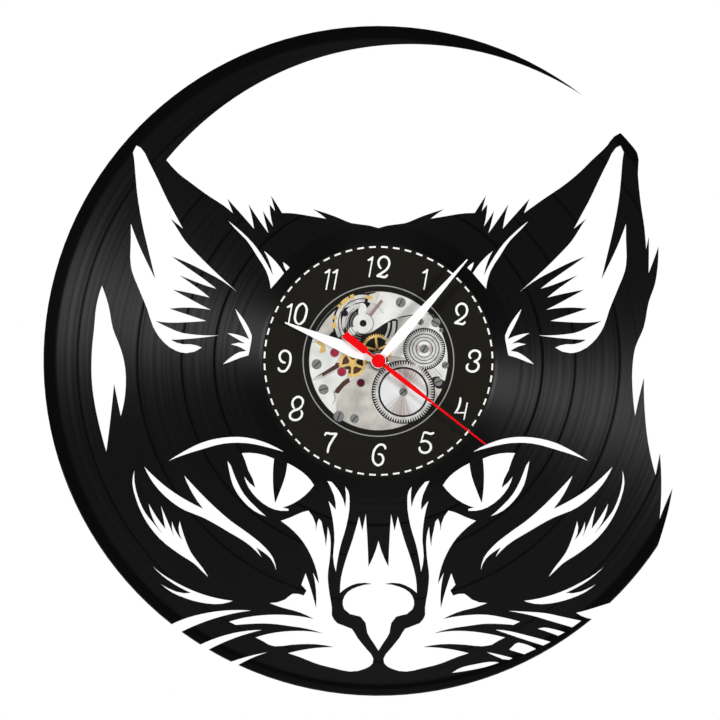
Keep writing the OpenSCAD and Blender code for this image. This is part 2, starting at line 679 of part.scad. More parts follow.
// Low printed relief of an old pocket movement in the middle of the dial.
print_screws = [
    [-26.9, -1.4], [-23.8, -12.7], [-16.8, -24.9], [-9.8, -25.9], [10.9, 26.6],
    [26.8, 17.5], [19.9, 17.9], [30, -1.8], [26.5, -9.3]
];
print_jewels = [[-18.7, 3.8], [-15.5, -4.8], [-7, -9.8]];

module movement_print() {
    base = dial_front - ink_thickness;
    top = base - ink_thickness;
    high = top - ink_thickness;
    k = print_r / 31.65;
    difference() {
        union() {
            pin([0, 0], dial_front, base, print_r);
            gear(k * [12, -14], base, top, 60, 26 / 60 * k, 0);
            pin(k * [12, -14], top, high, 10.5 * k);
            gear(k * [21.5, 5.4], base, top, 50, 17 / 50 * k, 0);
            pin(k * [21.5, 5.4], top, high, 6 * k);
            difference() {
                pin(k * [-6.5, 17], base, top, 12.6 * k);
                pin(k * [-6.5, 17], base + 1, top - 1, 10.4 * k);
            }
            pin(k * [-6, 17], base, high, 4.2 * k);
            for (at = print_screws)
                pin(k * at, base, high, 1.8 * k);
            for (at = print_jewels)
                pin(k * at, base, high, 1.7 * k);
        }
        pin([0, 0], dial_front + 1, high - 1, post_r + running_gap);
    }
}

// ------------------------------------------------------------------- hands
// Each hand is drawn pointing at twelve and then turned clockwise.

module leaf(base_half, belly_half, belly_at, tip_half, tip_at) {
    polygon([
        [-base_half, 0], [-base_half, 2.4], [-belly_half, belly_at], [-tip_half, tip_at],
        [tip_half, tip_at], [belly_half, belly_at], [base_half, 2.4], [base_half, 0]
    ]);
}

module hour_hand() {
    difference() {
        union() {
            slab(hour_back - hub_height, hour_front)
                rotate(-hour_angle) {
                    circle(r = hour_pipe_r + 1.4);
                    leaf(1.5, 3.1, 11.5, 0.3, hour_length);
                }
            pin([0, 0], hour_back, hour_front, hour_pipe_r + 0.8);
        }
        pin([0, 0], hour_back + 1, hour_front - 1, hour_pipe_r);
    }
}

module minute_hand() {
    difference() {
        union() {
            slab(minute_back - hub_height, minute_front)
                rotate(-minute_angle) {
                    circle(r = minute_pipe_r + 1.6);
                    leaf(1.5, 2.4, 16, 0.3, minute_length);
                }
            pin([0, 0], minute_back, minute_front, minute_pipe_r + 0.9);
        }
        pin([0, 0], minute_back + 1, minute_front - 1, minute_pipe_r);
    }
}

module second_hand() {
    plate_back = second_back - hub_height;
    difference() {
        union() {
            slab(plate_back, plate_back - hand_thickness)
                rotate(-second_angle)
                    polygon([
                        [-1.7, -second_tail], [-1.7, -7.6], [-0.6, -6.4], [-0.6, 0],
                        [-0.8, 4], [-1.15, 10], [-1, 22], [-0.5, 31], [-0.35, second_length],
                        [0.35, second_length], [0.5, 31], [1, 22], [1.15, 10], [0.8, 4],
                        [0.6, 0], [0.6, -6.4], [1.7, -7.6], [1.7, -second_tail]
                    ]);
            pin([0, 0], plate_back, second_front, 3.1);
            pin([0, 0], second_back, second_front, 1);
        }
        pin([0, 0], second_back + 1, second_front + 0.4, seconds_arbor_r);
    }
}

// ---------------------------------------------------------------- movement

module front_case() {
    lug = [[leg_left, coil_z], [leg_right, coil_z]];
    board_lug = [[-24, 12], [-24, 24]];
    difference() {
        union() {
            difference() {
                slab(0, -case_depth)
                    rounded(half_case, -half_case, half_case, 3);
                box(-inner_half, inner_half, floor_y, 1, partition_z, inner_half);
                box(-inner_half, inner_half, -case_depth + 1.1, 1, -inner_half, bay_top);
                box(-half_case - 1, half_case + 1, cover_in, 1, bay_top, half_case + 1);
            }
            pin([0, 0], floor_y, post_end, post_r);
            for (at = lug) {
                pin(at, floor_y - 0.5, stator_y - core_thickness, 1.6);
                pin(at, floor_y - 0.5, stator_y + stator_thickness + 0.4, 0.8);
            }
            for (at = board_lug) {
                pin(at, floor_y - 0.5, board_y, 1.4);
                pin(at, floor_y - 0.5, board_y + board_thickness + 0.3, 0.6);
            }
            pin(rotor_at, floor_y - 0.5, intermediate_y - 1.2, 1.5);
        }
        pin([0, 0], floor_y + 1, post_end - 1, hour_pipe_r + running_gap);
        pin(third_at, floor_y + 1, floor_y - 0.9, pivot_r + pivot_gap);
        pin(intermediate_at, floor_y + 1, floor_y - 0.9, pivot_r + pivot_gap);
        pin(motion_at, floor_y + 1, floor_y - 0.9, 0.5 + pivot_gap);
        pin(rotor_at, intermediate_y, intermediate_y - 2.4, pivot_r + pivot_gap);
        for (x = [-inner_half - 0.01, inner_half - 0.8])
            box(x, x + 0.81, -8.3, -5.2, bay_top - 1, partition_z + 1);
    }
}

module back_cover() {
    lip_z0 = partition_z + loose_fit;
    lip_half = inner_half - loose_fit;
    difference() {
        union() {
            difference() {
                slab(0, cover_in)
                    rounded(half_case, -half_case, half_case, 3);
                box(-half_case - 1, half_case + 1, cover_in - 1, 1, -half_case - 1, bay_top);
            }
            difference() {
                box(-lip_half, lip_half, cover_in - 1.2, cover_in, lip_z0, lip_half);
                box(-lip_half + 0.7, lip_half - 0.7, cover_in - 2, cover_in,
                    lip_z0 + 0.7, lip_half - 0.7);
            }
            pin(motion_at, -0.5, knob_floor_y, 6.7);
            for (at = [[0, 0], third_at, intermediate_at, rotor_at])
                pin(at, -0.5, cover_in - boss_height, 1.2);
        }
        pin(motion_at, 1, knob_floor_y + 1.2, 5.5);
        pin(motion_at, 1, knob_floor_y - 1, 1 + running_gap);
        for (at = [[0, 0], third_at, intermediate_at, rotor_at])
            pin(at, cover_in + 0.6, cover_in - boss_height - 1, pivot_r + pivot_gap);
    }
}

module hanger_plate() {
    foot = 14;
    riser_z = half_case + 1.4;
    tab_y = -1.8;
    tab_top = riser_z + 16;
    hole_z = riser_z + 6.2;
    difference() {
        union() {
            slab(hanger_back, gasket_back)
                rounded(foot, -12, riser_z + hanger_thickness, 2);
            box(-11, 11, gasket_back, tab_y + hanger_thickness, riser_z,
                riser_z + hanger_thickness);
            slab(tab_y, tab_y + hanger_thickness) {
                rounded(11, riser_z, tab_top, 4);
                translate([-11, riser_z])
                    square([22, 5]);
            }
        }
        pin([0, 0], hanger_back + 1, gasket_back - 1, post_r + running_gap);
        pin([0, hole_z], tab_y - 1, 0, hanger_hole_r);
        box(-2.2, 2.2, tab_y - 1, 0, hole_z, hole_z + 6);
        pin([0, hole_z + 6], tab_y - 1, 0, 2.2);
    }
}

module rubber_gasket() {
    difference() {
        pin([0, 0], gasket_back, record_back, 12);
        pin([0, 0], gasket_back + 1, record_back - 1, post_r + running_gap);
    }
}

module flat_washer() {
    difference() {
        pin([0, 0], washer_back, nut_back, 4.5);
        pin([0, 0], washer_back + 1, nut_back - 1, post_r + running_gap);
    }
}

module mounting_nut() {
    corner = nut_flats / 2 / cos(30);
    difference() {
        slab(nut_back, nut_back - nut_height)
            polygon([for (i = [0:5]) polar(corner, 60 * i)]);
        pin([0, 0], nut_back + 1, nut_back - nut_height - 1, post_r);
    }
}

module cannon_pinion() {
    phase = bearing([0, 0], motion_at) + 180 / cannon_leaves;
    difference() {
        union() {
            pin([0, 0], centre_y + 0.7, minute_front, minute_pipe_r);
            gear([0, 0], cannon_y, cannon_y + 1, cannon_leaves, motion_module, phase);
            pin([0, 0], cannon_y + 1, centre_y, 2);
        }
        pin([0, 0], centre_y + 2, minute_front - 1, seconds_arbor_r + running_gap);
    }
}

module centre_wheel() {
    phase = bearing([0, 0], third_at);
    difference() {
        union() {
            gear([0, 0], centre_y, centre_y + wheel_thickness, centre_teeth, centre_module, phase);
            pin([0, 0], centre_y, centre_y + 0.7, 2.2);
        }
        pin([0, 0], centre_y - 1, centre_y + 2, minute_pipe_r);
    }
}

module hour_wheel() {
    phase = bearing([0, 0], motion_at);
    difference() {
        union() {
            gear([0, 0], hour_wheel_y, hour_wheel_y + wheel_thickness, hour_teeth,
                hour_module, phase);
            pin([0, 0], hour_wheel_y + wheel_thickness, hour_front, hour_pipe_r);
        }
        pin([0, 0], hour_wheel_y + 2, hour_front - 1, minute_pipe_r + running_gap);
    }
}

module motion_wheel() {
    towards = bearing(motion_at, [0, 0]);
    difference() {
        union() {
            gear(motion_at, cannon_y + 0.1, cannon_y + 0.1 + wheel_thickness, motion_teeth,
                motion_module, towards);
            gear(motion_at, hour_wheel_y, cannon_y + 0.1, motion_leaves, hour_module,
                towards + 180 / motion_leaves);
            pin(motion_at, cannon_y + 0.1, cannon_y + 1.6, 2);
        }
        pin(motion_at, hour_wheel_y - 1, cannon_y + 3, 1);
    }
}

module setting_knob() {
    top = -0.3;
    difference() {
        pin(motion_at, top, knob_floor_y + 1.4, 4.6);
        for (i = [0:11])
            pin(motion_at + polar(4.9, 30 * i), 1, knob_floor_y, 0.7);
    }
    pin(motion_at, knob_floor_y + 1.4, hour_wheel_y, 1);
    pin(motion_at, hour_wheel_y, floor_y - pivot_depth, 0.5);
}

module arbor(at, front, back, r) {
    pin(at, front, back, r);
    pin(at, back, cover_in - 0.2, pivot_r);
}

module third_wheel() {
    back = cover_in - boss_height - end_shake;
    towards = bearing(third_at, [0, 0]);
    arbor(third_at, floor_y + end_shake, back, 0.55);
    pin(third_at, floor_y + end_shake, floor_y - pivot_depth, pivot_r);
    gear(third_at, third_y, third_y + wheel_thickness, wheel_teeth, third_module, towards);
    gear(third_at, centre_y - 0.2, centre_y + 1, third_leaves, centre_module,
        towards + 180 / third_leaves);
    pin(third_at, third_y - 0.5, third_y + 1.1, 1.4);
}

module seconds_wheel() {
    back = cover_in - boss_height - end_shake;
    arbor([0, 0], second_front + 0.4, back, seconds_arbor_r);
    gear([0, 0], seconds_y, seconds_y + wheel_thickness, wheel_teeth, intermediate_module,
        bearing([0, 0], intermediate_at));
    gear([0, 0], third_y - 0.3, third_y + 0.9, seconds_leaves, third_module,
        bearing([0, 0], third_at) + 180 / seconds_leaves);
    pin([0, 0], third_y + 0.9, seconds_y + 1, 1);
}

module intermediate_wheel() {
    back = cover_in - boss_height - end_shake;
    arbor(intermediate_at, floor_y + end_shake, back, 0.5);
    pin(intermediate_at, floor_y + end_shake, floor_y - pivot_depth, pivot_r);
    gear(intermediate_at, intermediate_y, intermediate_y + wheel_thickness, wheel_teeth,
        rotor_module, bearing(intermediate_at, rotor_at));
    gear(intermediate_at, seconds_y - 0.3, seconds_y + 0.9, intermediate_leaves,
        intermediate_module,
        bearing(intermediate_at, [0, 0]) + 180 / intermediate_leaves);
    pin(intermediate_at, seconds_y + 0.9, intermediate_y + 1, 1.2);
}

module rotor_pinion() {
    back = cover_in - boss_height - end_shake;
    front = intermediate_y - 1;
    arbor(rotor_at, front, back, 0.5);
    pin(rotor_at, front, front - 1.2, pivot_r);
    gear(rotor_at, intermediate_y - 0.4, intermediate_y + 0.9, rotor_leaves, rotor_module,
        bearing(rotor_at, intermediate_at) + 180 / rotor_leaves);
}

module rotor_magnet() {
    difference() {
        pin(rotor_at, magnet_y, magnet_y + 2, 2.6);
        pin(rotor_at, magnet_y - 1, magnet_y + 3, 0.5);
    }
}

module stator() {
    bar_z = rotor_at[1];
    difference() {
        slab(stator_y, stator_y + stator_thickness) {
            translate([leg_left - 2, bar_z - bar_half])
                square([leg_right - leg_left + 4, 2 * bar_half]);
            for (x = [leg_left, leg_right])
                translate([x - 2, bar_z - bar_half])
                    square([4, coil_z + 2 - bar_z + bar_half]);
            translate(rotor_at)
                circle(r = 4.6);
        }
        pin(rotor_at, stator_y - 1, stator_y + 2, 3.1);
        for (x = [leg_left, leg_right])
            pin([x, coil_z], stator_y - 1, stator_y + 2, 0.85);
    }
}

module coil_core() {
    difference() {
        box(leg_left - 2, leg_right + 2, stator_y - core_thickness, stator_y,
            coil_z - core_half, coil_z + core_half);
        for (x = [leg_left, leg_right])
            pin([x, coil_z], stator_y - 3, stator_y + 2, 0.85);
    }
}

module coil_bobbin() {
    x0 = leg_left + 3;
    x1 = leg_right - 3;
    tube = 1.6;
    difference() {
        union() {
            for (x = [x0, x1 - 1])
                box(x, x + 1, coil_y - flange_half, coil_y + flange_half,
                    coil_z - flange_half, coil_z + flange_half);
            box(x0, x1, coil_y - tube, coil_y + tube, coil_z - tube - 0.2, coil_z + tube + 0.2);
        }
        box(x0 - 1, x1 + 1, coil_y - core_thickness / 2 - 0.05, coil_y + core_thickness / 2 + 0.05,
            coil_z - core_half - 0.05, coil_z + core_half + 0.05);
    }
}

module coil_winding() {
    x0 = leg_left + 4;
    x1 = leg_right - 4;
    difference() {
        translate([x0, coil_y, coil_z])
            rotate([0, 90, 0])
                cylinder(h = x1 - x0, r = 2.9);
        box(x0 - 1, x1 + 1, coil_y - 1.6, coil_y + 1.6, coil_z - 1.8, coil_z + 1.8);
    }
}

module circuit_board() {
    difference() {
        box(board_left, board_left + 12, board_y, board_y + board_thickness, 10, 26);
        for (z = [12, 24])
            pin([-24, z], board_y - 1, board_y + 2, 0.65);
    }
}

module quartz_crystal() {
    translate([-17, board_y + board_thickness + 1, 12.5])
        cylinder(h = 6, r = 1);
    for (x = [-17.5, -16.7])
        box(x, x + 0.2, board_y + board_thickness, board_y + board_thickness + 1.1, 11.3, 12.6);
}

module ic_blob() {
    base = board_y + board_thickness;
    intersection() {
        translate([-19.5, base - 2.2, 22])
            sphere(r = 3.3);
        box(-24, -15, base, base + 3, 17, 26);
    }
}

module battery_contact_plus() {
    wall = inner_half - 0.4;
    run_x = board_left + 3.7;
    box(wall, inner_half, -11, -4, cell_z - 4.85, bay_top - 0.4);
    box(wall, inner_half, -8, -5.5, bay_top - 1, partition_z + strip);
    box(run_x, inner_half, -8, -5.5, partition_z, partition_z + strip);
    box(run_x, run_x + strip, -8, board_y, partition_z, 12.5);
    box(run_x, run_x + 3, board_y - strip, board_y, 10.5, 12.5);
}

module battery_contact_minus() {
    wall = inner_half - 0.4;
    cell_end = wall - cell_length;
    box(-inner_half, -wall, -11, -4, cell_z - 4.85, bay_top - 0.4);
    box(-inner_half, -wall, -8, -5.5, bay_top - 1, 12.5);
    box(-inner_half, board_left + 1.4, board_y - strip, board_y, 10.5, 11);
    difference() {
        box(-wall, cell_end, -10.5, -5, cell_z - 3.35, cell_z + 3.65);
        box(-wall - 1, cell_end - 0.4, -11, -4, cell_z - 2.95, cell_z + 3.25);
    }
}

module battery_cell() {
    wall = inner_half - 0.4;
    button = 1.2;
    translate([wall - cell_length, cell_y, cell_z])
        rotate([0, 90, 0])
            cylinder(h = cell_length - button, r = cell_diameter / 2);
    translate([wall - button, cell_y, cell_z])
        rotate([0, 90, 0])
            cylinder(h = button, r = 2.75);
}

// ---------------------------------------------------------------- assembly

color([0.03, 0.03, 0.03]) record_plate();
color([0.09, 0.08, 0.07]) dial_label();
color([0.9, 0.9, 0.88]) dial_marks();
color([0.95, 0.95, 0.93]) numerals();
color([0.75, 0.74, 0.72]) movement_print();
color([0.97, 0.97, 0.97]) hour_hand();
color([0.97, 0.97, 0.97]) minute_hand();
color([0.9, 0.02, 0.03]) second_hand();
color([0.06, 0.06, 0.06]) front_case();
color([0.07, 0.07, 0.07]) back_cover();
color([0.62, 0.63, 0.64]) hanger_plate();
color([0.04, 0.04, 0.04]) rubber_gasket();
color([0.7, 0.7, 0.7]) flat_washer();
color([0.72, 0.71, 0.68]) mounting_nut();
color([0.9, 0.88, 0.8]) cannon_pinion();
color([0.85, 0.83, 0.75]) centre_wheel();
color([0.92, 0.9, 0.84]) hour_wheel();
color([0.88, 0.86, 0.8]) motion_wheel();
color([0.15, 0.15, 0.15]) setting_knob();
color([0.86, 0.86, 0.82]) third_wheel();
color([0.9, 0.9, 0.88]) seconds_wheel();
color([0.84, 0.84, 0.8]) intermediate_wheel();
color([0.8, 0.8, 0.78]) rotor_pinion();
color([0.2, 0.2, 0.21]) rotor_magnet();
color([0.55, 0.56, 0.58]) stator();
color([0.5, 0.51, 0.53]) coil_core();
color([0.85, 0.84, 0.8]) coil_bobbin();
color([0.62, 0.27, 0.1]) coil_winding();
color([0.05, 0.25, 0.12]) circuit_board();
color([0.75, 0.75, 0.76]) quartz_crystal();
color([0.02, 0.02, 0.02]) ic_blob();
color([0.7, 0.68, 0.6]) battery_contact_plus();
color([0.7, 0.68, 0.6]) battery_contact_minus();
color([0.1, 0.35, 0.2]) battery_cell();
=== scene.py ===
"""Record wall clock: a cat's face and crescent moon cut from a long-playing record.

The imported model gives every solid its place. This script dresses those solids and
adds the pieces that a solid model leaves plain: the printed picture in the middle of
the dial, softened edges, the coil's turns and the cell's jacket. Sizes are metres; only
the printed picture is drawn in millimetres.
"""

import logging
import math
from dataclasses import dataclass, field
from enum import Enum

import bmesh
import bpy
import numpy as np
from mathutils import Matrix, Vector


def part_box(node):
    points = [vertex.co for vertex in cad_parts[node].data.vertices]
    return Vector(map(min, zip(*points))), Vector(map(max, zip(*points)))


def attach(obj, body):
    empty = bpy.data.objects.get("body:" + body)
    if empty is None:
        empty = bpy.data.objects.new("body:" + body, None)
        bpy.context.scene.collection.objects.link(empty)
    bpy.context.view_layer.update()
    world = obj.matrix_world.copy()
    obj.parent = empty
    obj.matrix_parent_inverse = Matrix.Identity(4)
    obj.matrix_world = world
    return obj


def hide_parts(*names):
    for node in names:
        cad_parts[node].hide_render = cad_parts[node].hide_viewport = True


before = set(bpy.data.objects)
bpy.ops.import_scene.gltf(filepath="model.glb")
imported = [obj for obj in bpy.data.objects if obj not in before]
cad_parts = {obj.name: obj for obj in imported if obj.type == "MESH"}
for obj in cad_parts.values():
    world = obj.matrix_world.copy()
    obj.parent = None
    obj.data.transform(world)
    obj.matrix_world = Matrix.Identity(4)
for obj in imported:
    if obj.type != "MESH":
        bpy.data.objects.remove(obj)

LOG = logging.getLogger("record_clock")
MM = 0.001
CLOCK = "clock"
PICTURE_SLOT = "picture_print"

RECORD_RADIUS = 0.1508
RUN_OUT_SHARE = 0.42
TRACK_GAPS = (0.074, 0.0885, 0.1085, 0.1355)
SHOWN_GROOVE_PITCH = 0.0011
MARK_RING_EDGE = 0.042
COARSE_SHARE = 0.35
COAT_ROUGHNESS = 0.12
CREASE = math.radians(30)
FLAT_ANGLE = math.radians(0.5)
MERGE_DISTANCE = 1e-7

Colour = tuple[float, float, float, float]
Point = tuple[float, float]


def tone(red: float, green: float, blue: float) -> Colour:
    """Return an opaque linear colour."""
    return (red, green, blue, 1.0)


# ------------------------------------------------------------------ materials


class Wear(Enum):
    """How a surface carries its fine texture."""

    MOULDED = "moulded"
    PAINTED = "painted"
    BRUSHED = "brushed"
    PRINTED = "printed"


@dataclass(frozen=True)
class Finish:
    """One surface finish.

    Attributes:
        name: The material's name.
        colour: Its base colour, linear.
        roughness: Its mean roughness.
        wear: The kind of fine texture it has.
        metallic: One for bare metal.
        spread: How far the colour and the roughness wander.
        scale: Texture cells per metre.
        depth: Bump depth in metres.
        specular: Specular level.
        coat: Weight of a clear coat.
    """

    name: str
    colour: Colour
    roughness: float
    wear: Wear = Wear.MOULDED
    metallic: float = 0.0
    spread: float = 0.12
    scale: float = 900.0
    depth: float = 0.00001
    specular: float = 0.5
    coat: float = 0.0


class Finishes(Enum):
    """Every plain finish on the clock."""

    WHITE_PAINT = Finish("white_hand_paint", tone(0.9, 0.9, 0.9), 0.28, Wear.PAINTED, coat=0.4)
    RED_PAINT = Finish(
        "red_hand_paint", tone(0.72, 0.0, 0.003), 0.4, Wear.PAINTED, spread=0.05, specular=0.15
    )
    DIAL_CARD = Finish(
        "dial_card", tone(0.0092, 0.0084, 0.0058), 0.6, Wear.PRINTED, specular=0.06, spread=0.2
    )
    WHITE_INK = Finish("white_ink", tone(0.82, 0.82, 0.8), 0.6, Wear.PRINTED, specular=0.2)
    CASE = Finish("case_moulding", tone(0.022, 0.022, 0.024), 0.5, Wear.MOULDED, depth=0.00003)
    KNOB = Finish("knob_moulding", tone(0.045, 0.045, 0.048), 0.42, Wear.MOULDED, depth=0.00002)
    HANGER = Finish("zinc_sheet", tone(0.58, 0.59, 0.6), 0.34, Wear.BRUSHED, metallic=1.0)
    GASKET = Finish("gasket_rubber", tone(0.012, 0.012, 0.012), 0.75, Wear.MOULDED, spread=0.3)
    NICKEL = Finish("nickel_plate", tone(0.7, 0.68, 0.63), 0.2, Wear.BRUSHED, metallic=1.0)
    GEAR = Finish("white_acetal", tone(0.75, 0.73, 0.66), 0.4, Wear.MOULDED)
    MAGNET = Finish("ferrite", tone(0.035, 0.035, 0.038), 0.5, Wear.BRUSHED, metallic=0.4)
    IRON = Finish("silicon_iron", tone(0.33, 0.34, 0.36), 0.36, Wear.BRUSHED, metallic=1.0)
    BOBBIN = Finish("bobbin_nylon", tone(0.62, 0.59, 0.48), 0.45, Wear.MOULDED)
    COPPER = Finish("enamelled_copper", tone(0.5, 0.13, 0.035), 0.24, Wear.BRUSHED, metallic=1.0)
    BOARD = Finish("solder_mask", tone(0.008, 0.085, 0.03), 0.3, Wear.PRINTED, coat=0.5)
    CAN = Finish("crystal_can", tone(0.68, 0.68, 0.7), 0.22, Wear.BRUSHED, metallic=1.0)
    EPOXY = Finish("epoxy_blob", tone(0.006, 0.006, 0.006), 0.18, Wear.PAINTED, coat=0.6)
    SPRING = Finish("contact_strip", tone(0.6, 0.57, 0.48), 0.26, Wear.BRUSHED, metallic=1.0)
    JACKET = Finish("cell_jacket", tone(0.01, 0.09, 0.04), 0.3, Wear.PAINTED, coat=0.6)
    JACKET_BAND = Finish("cell_band", tone(0.6, 0.36, 0.1), 0.28, Wear.PAINTED, metallic=0.7)
    CELL_END = Finish("cell_steel", tone(0.62, 0.62, 0.6), 0.25, Wear.BRUSHED, metallic=1.0)
    PLATE = Finish(
        "picture_plate", tone(0.5, 0.48, 0.44), 0.5, Wear.PRINTED, spread=0.5, scale=420.0
    )
    PLATE_SHADE = Finish(
        "picture_plate_shade", tone(0.44, 0.425, 0.385), 0.55, Wear.PRINTED, spread=0.6, scale=420.0
    )
    BRIDGE = Finish(
        "picture_bridge", tone(0.66, 0.67, 0.645), 0.42, Wear.PRINTED, spread=0.3, scale=420.0
    )
    STEEL = Finish(
        "picture_steel", tone(0.52, 0.52, 0.5), 0.36, Wear.PRINTED, spread=0.6, scale=700.0
    )
    GREY_STEEL = Finish(
        "picture_screw", tone(0.17, 0.175, 0.17), 0.4, Wear.BRUSHED, spread=0.7, scale=1400.0
    )
    DARK = Finish("picture_shadow", tone(0.008, 0.007, 0.007), 0.6, Wear.PRINTED, specular=0.15)
    BROWN = Finish("picture_slot", tone(0.045, 0.014, 0.006), 0.5, Wear.PRINTED, spread=0.6)
    GOLD = Finish("picture_gilt", tone(0.62, 0.42, 0.13), 0.38, Wear.PRINTED, spread=0.4)
    RUBY = Finish("picture_ruby", tone(0.33, 0.02, 0.045), 0.15, Wear.PAINTED, spread=0.6, coat=0.8)
    GARNET = Finish("picture_garnet", tone(0.07, 0.004, 0.014), 0.2, Wear.PAINTED, coat=0.6)
    ROSE = Finish("picture_pointer", tone(0.26, 0.17, 0.17), 0.4, Wear.PRINTED)


@dataclass
class Graph:
    """A node tree with short ways to add and wire its nodes.

    Attributes:
        tree: The node tree.
    """

    tree: bpy.types.NodeTree

    def feed(self, node: bpy.types.Node, feeds: dict[str | int, object]) -> None:
        """Run an output to each named input, or set the input's own value.

        Args:
            node: The node that is fed.
            feeds: An output socket or a value for each input.
        """
        for key, value in feeds.items():
            if isinstance(value, bpy.types.NodeSocket):
                self.tree.links.new(value, node.inputs[key])
            else:
                node.inputs[key].default_value = value

    def add(
        self, kind: str, feeds: dict[str | int, object] | None = None, **traits: object
    ) -> bpy.types.Node:
        """Add a node. Its traits are set first, because its sockets can depend on them.

        Args:
            kind: The node's type.
            feeds: An output socket or a value for each input.
            **traits: The node's own settings.

        Returns:
            The node.
        """
        node = self.tree.nodes.new(kind)
        for name, value in traits.items():
            setattr(node, name, value)
        self.feed(node, feeds or {})
        return node

    def calc(self, operation: str, *values: object) -> bpy.types.NodeSocket:
        """Return the result of one operation on numbers."""
        node = self.add("ShaderNodeMath", dict(enumerate(values)), operation=operation)
        return node.outputs[0]

    def place(self) -> bpy.types.NodeSocket:
        """Return the place on the piece."""
        return self.add("ShaderNodeTexCoord").outputs["Object"]

    def from_axis(self) -> tuple[bpy.types.NodeSocket, bpy.types.NodeSocket]:
        """Return the place flattened to the dial's plane, and its distance from the axis."""
        flat = self.add(
            "ShaderNodeVectorMath", {0: self.place(), 1: (1.0, 0.0, 1.0)}, operation="MULTIPLY"
        ).outputs[0]
        length = self.add("ShaderNodeVectorMath", {0: flat}, operation="LENGTH")
        return flat, length.outputs["Value"]


def grain_group() -> bpy.types.NodeTree:
    """Build the shared group for fine texture.

    Two noises read the piece's own place. The coarse one shifts the colour and the
    roughness up and down by Spread; the fine one stands as a bump of height Depth.

    Returns:
        The node group.
    """
    tree = bpy.data.node_groups.new("fine_grain", "ShaderNodeTree")
    sockets = tree.interface
    for name, kind, start in (
        ("Colour", "NodeSocketColor", tone(0.5, 0.5, 0.5)),
        ("Roughness", "NodeSocketFloat", 0.5),
        ("Spread", "NodeSocketFloat", 0.1),
        ("Scale", "NodeSocketFloat", 900.0),
        ("Depth", "NodeSocketFloat", 0.00001),
        ("Stretch", "NodeSocketVector", (1.0, 1.0, 1.0)),
    ):
        socket = sockets.new_socket(name=name, in_out="INPUT", socket_type=kind)
        socket.default_value = start
    for name, kind in (
        ("Colour", "NodeSocketColor"),
        ("Roughness", "NodeSocketFloat"),
        ("Normal", "NodeSocketVector"),
    ):
        sockets.new_socket(name=name, in_out="OUTPUT", socket_type=kind)
    graph = Graph(tree)
    given = graph.add("NodeGroupInput").outputs
    stretched = graph.add(
        "ShaderNodeVectorMath", {0: graph.place(), 1: given["Stretch"]}, operation="MULTIPLY"
    ).outputs[0]
    slow = graph.calc("MULTIPLY", given["Scale"], COARSE_SHARE)
    coarse = graph.add("ShaderNodeTexNoise", {"Vector": stretched, "Scale": slow, "Detail": 3.0})
    fine = graph.add(
        "ShaderNodeTexNoise", {"Vector": stretched, "Scale": given["Scale"], "Detail": 4.0}
    )
    centred = graph.calc("SUBTRACT", coarse.outputs["Fac"], 0.5)
    swing = graph.calc("MULTIPLY", centred, given["Spread"])
    gain = graph.calc("MULTIPLY_ADD", swing, 2.0, 1.0)
    shade = graph.add(
        "ShaderNodeVectorMath", {0: given["Colour"], "Scale": gain}, operation="SCALE"
    )
    rough = graph.add(
        "ShaderNodeMath", {0: given["Roughness"], 1: swing}, operation="ADD", use_clamp=True
    )
    bump = graph.add(
        "ShaderNodeBump",
        {"Strength": 0.6, "Distance": given["Depth"], "Height": fine.outputs["Fac"]},
    )
    graph.add(
        "NodeGroupOutput",
        {
            "Colour": shade.outputs[0],
            "Roughness": rough.outputs[0],
            "Normal": bump.outputs["Normal"],
        },
    )
    return tree


STRETCH = {
    Wear.MOULDED: (1.0, 1.0, 1.0),
    Wear.PAINTED: (1.0, 1.0, 1.0),
    Wear.BRUSHED: (6.0, 1.0, 0.35),
    Wear.PRINTED: (1.0, 1.0, 1.0),
}


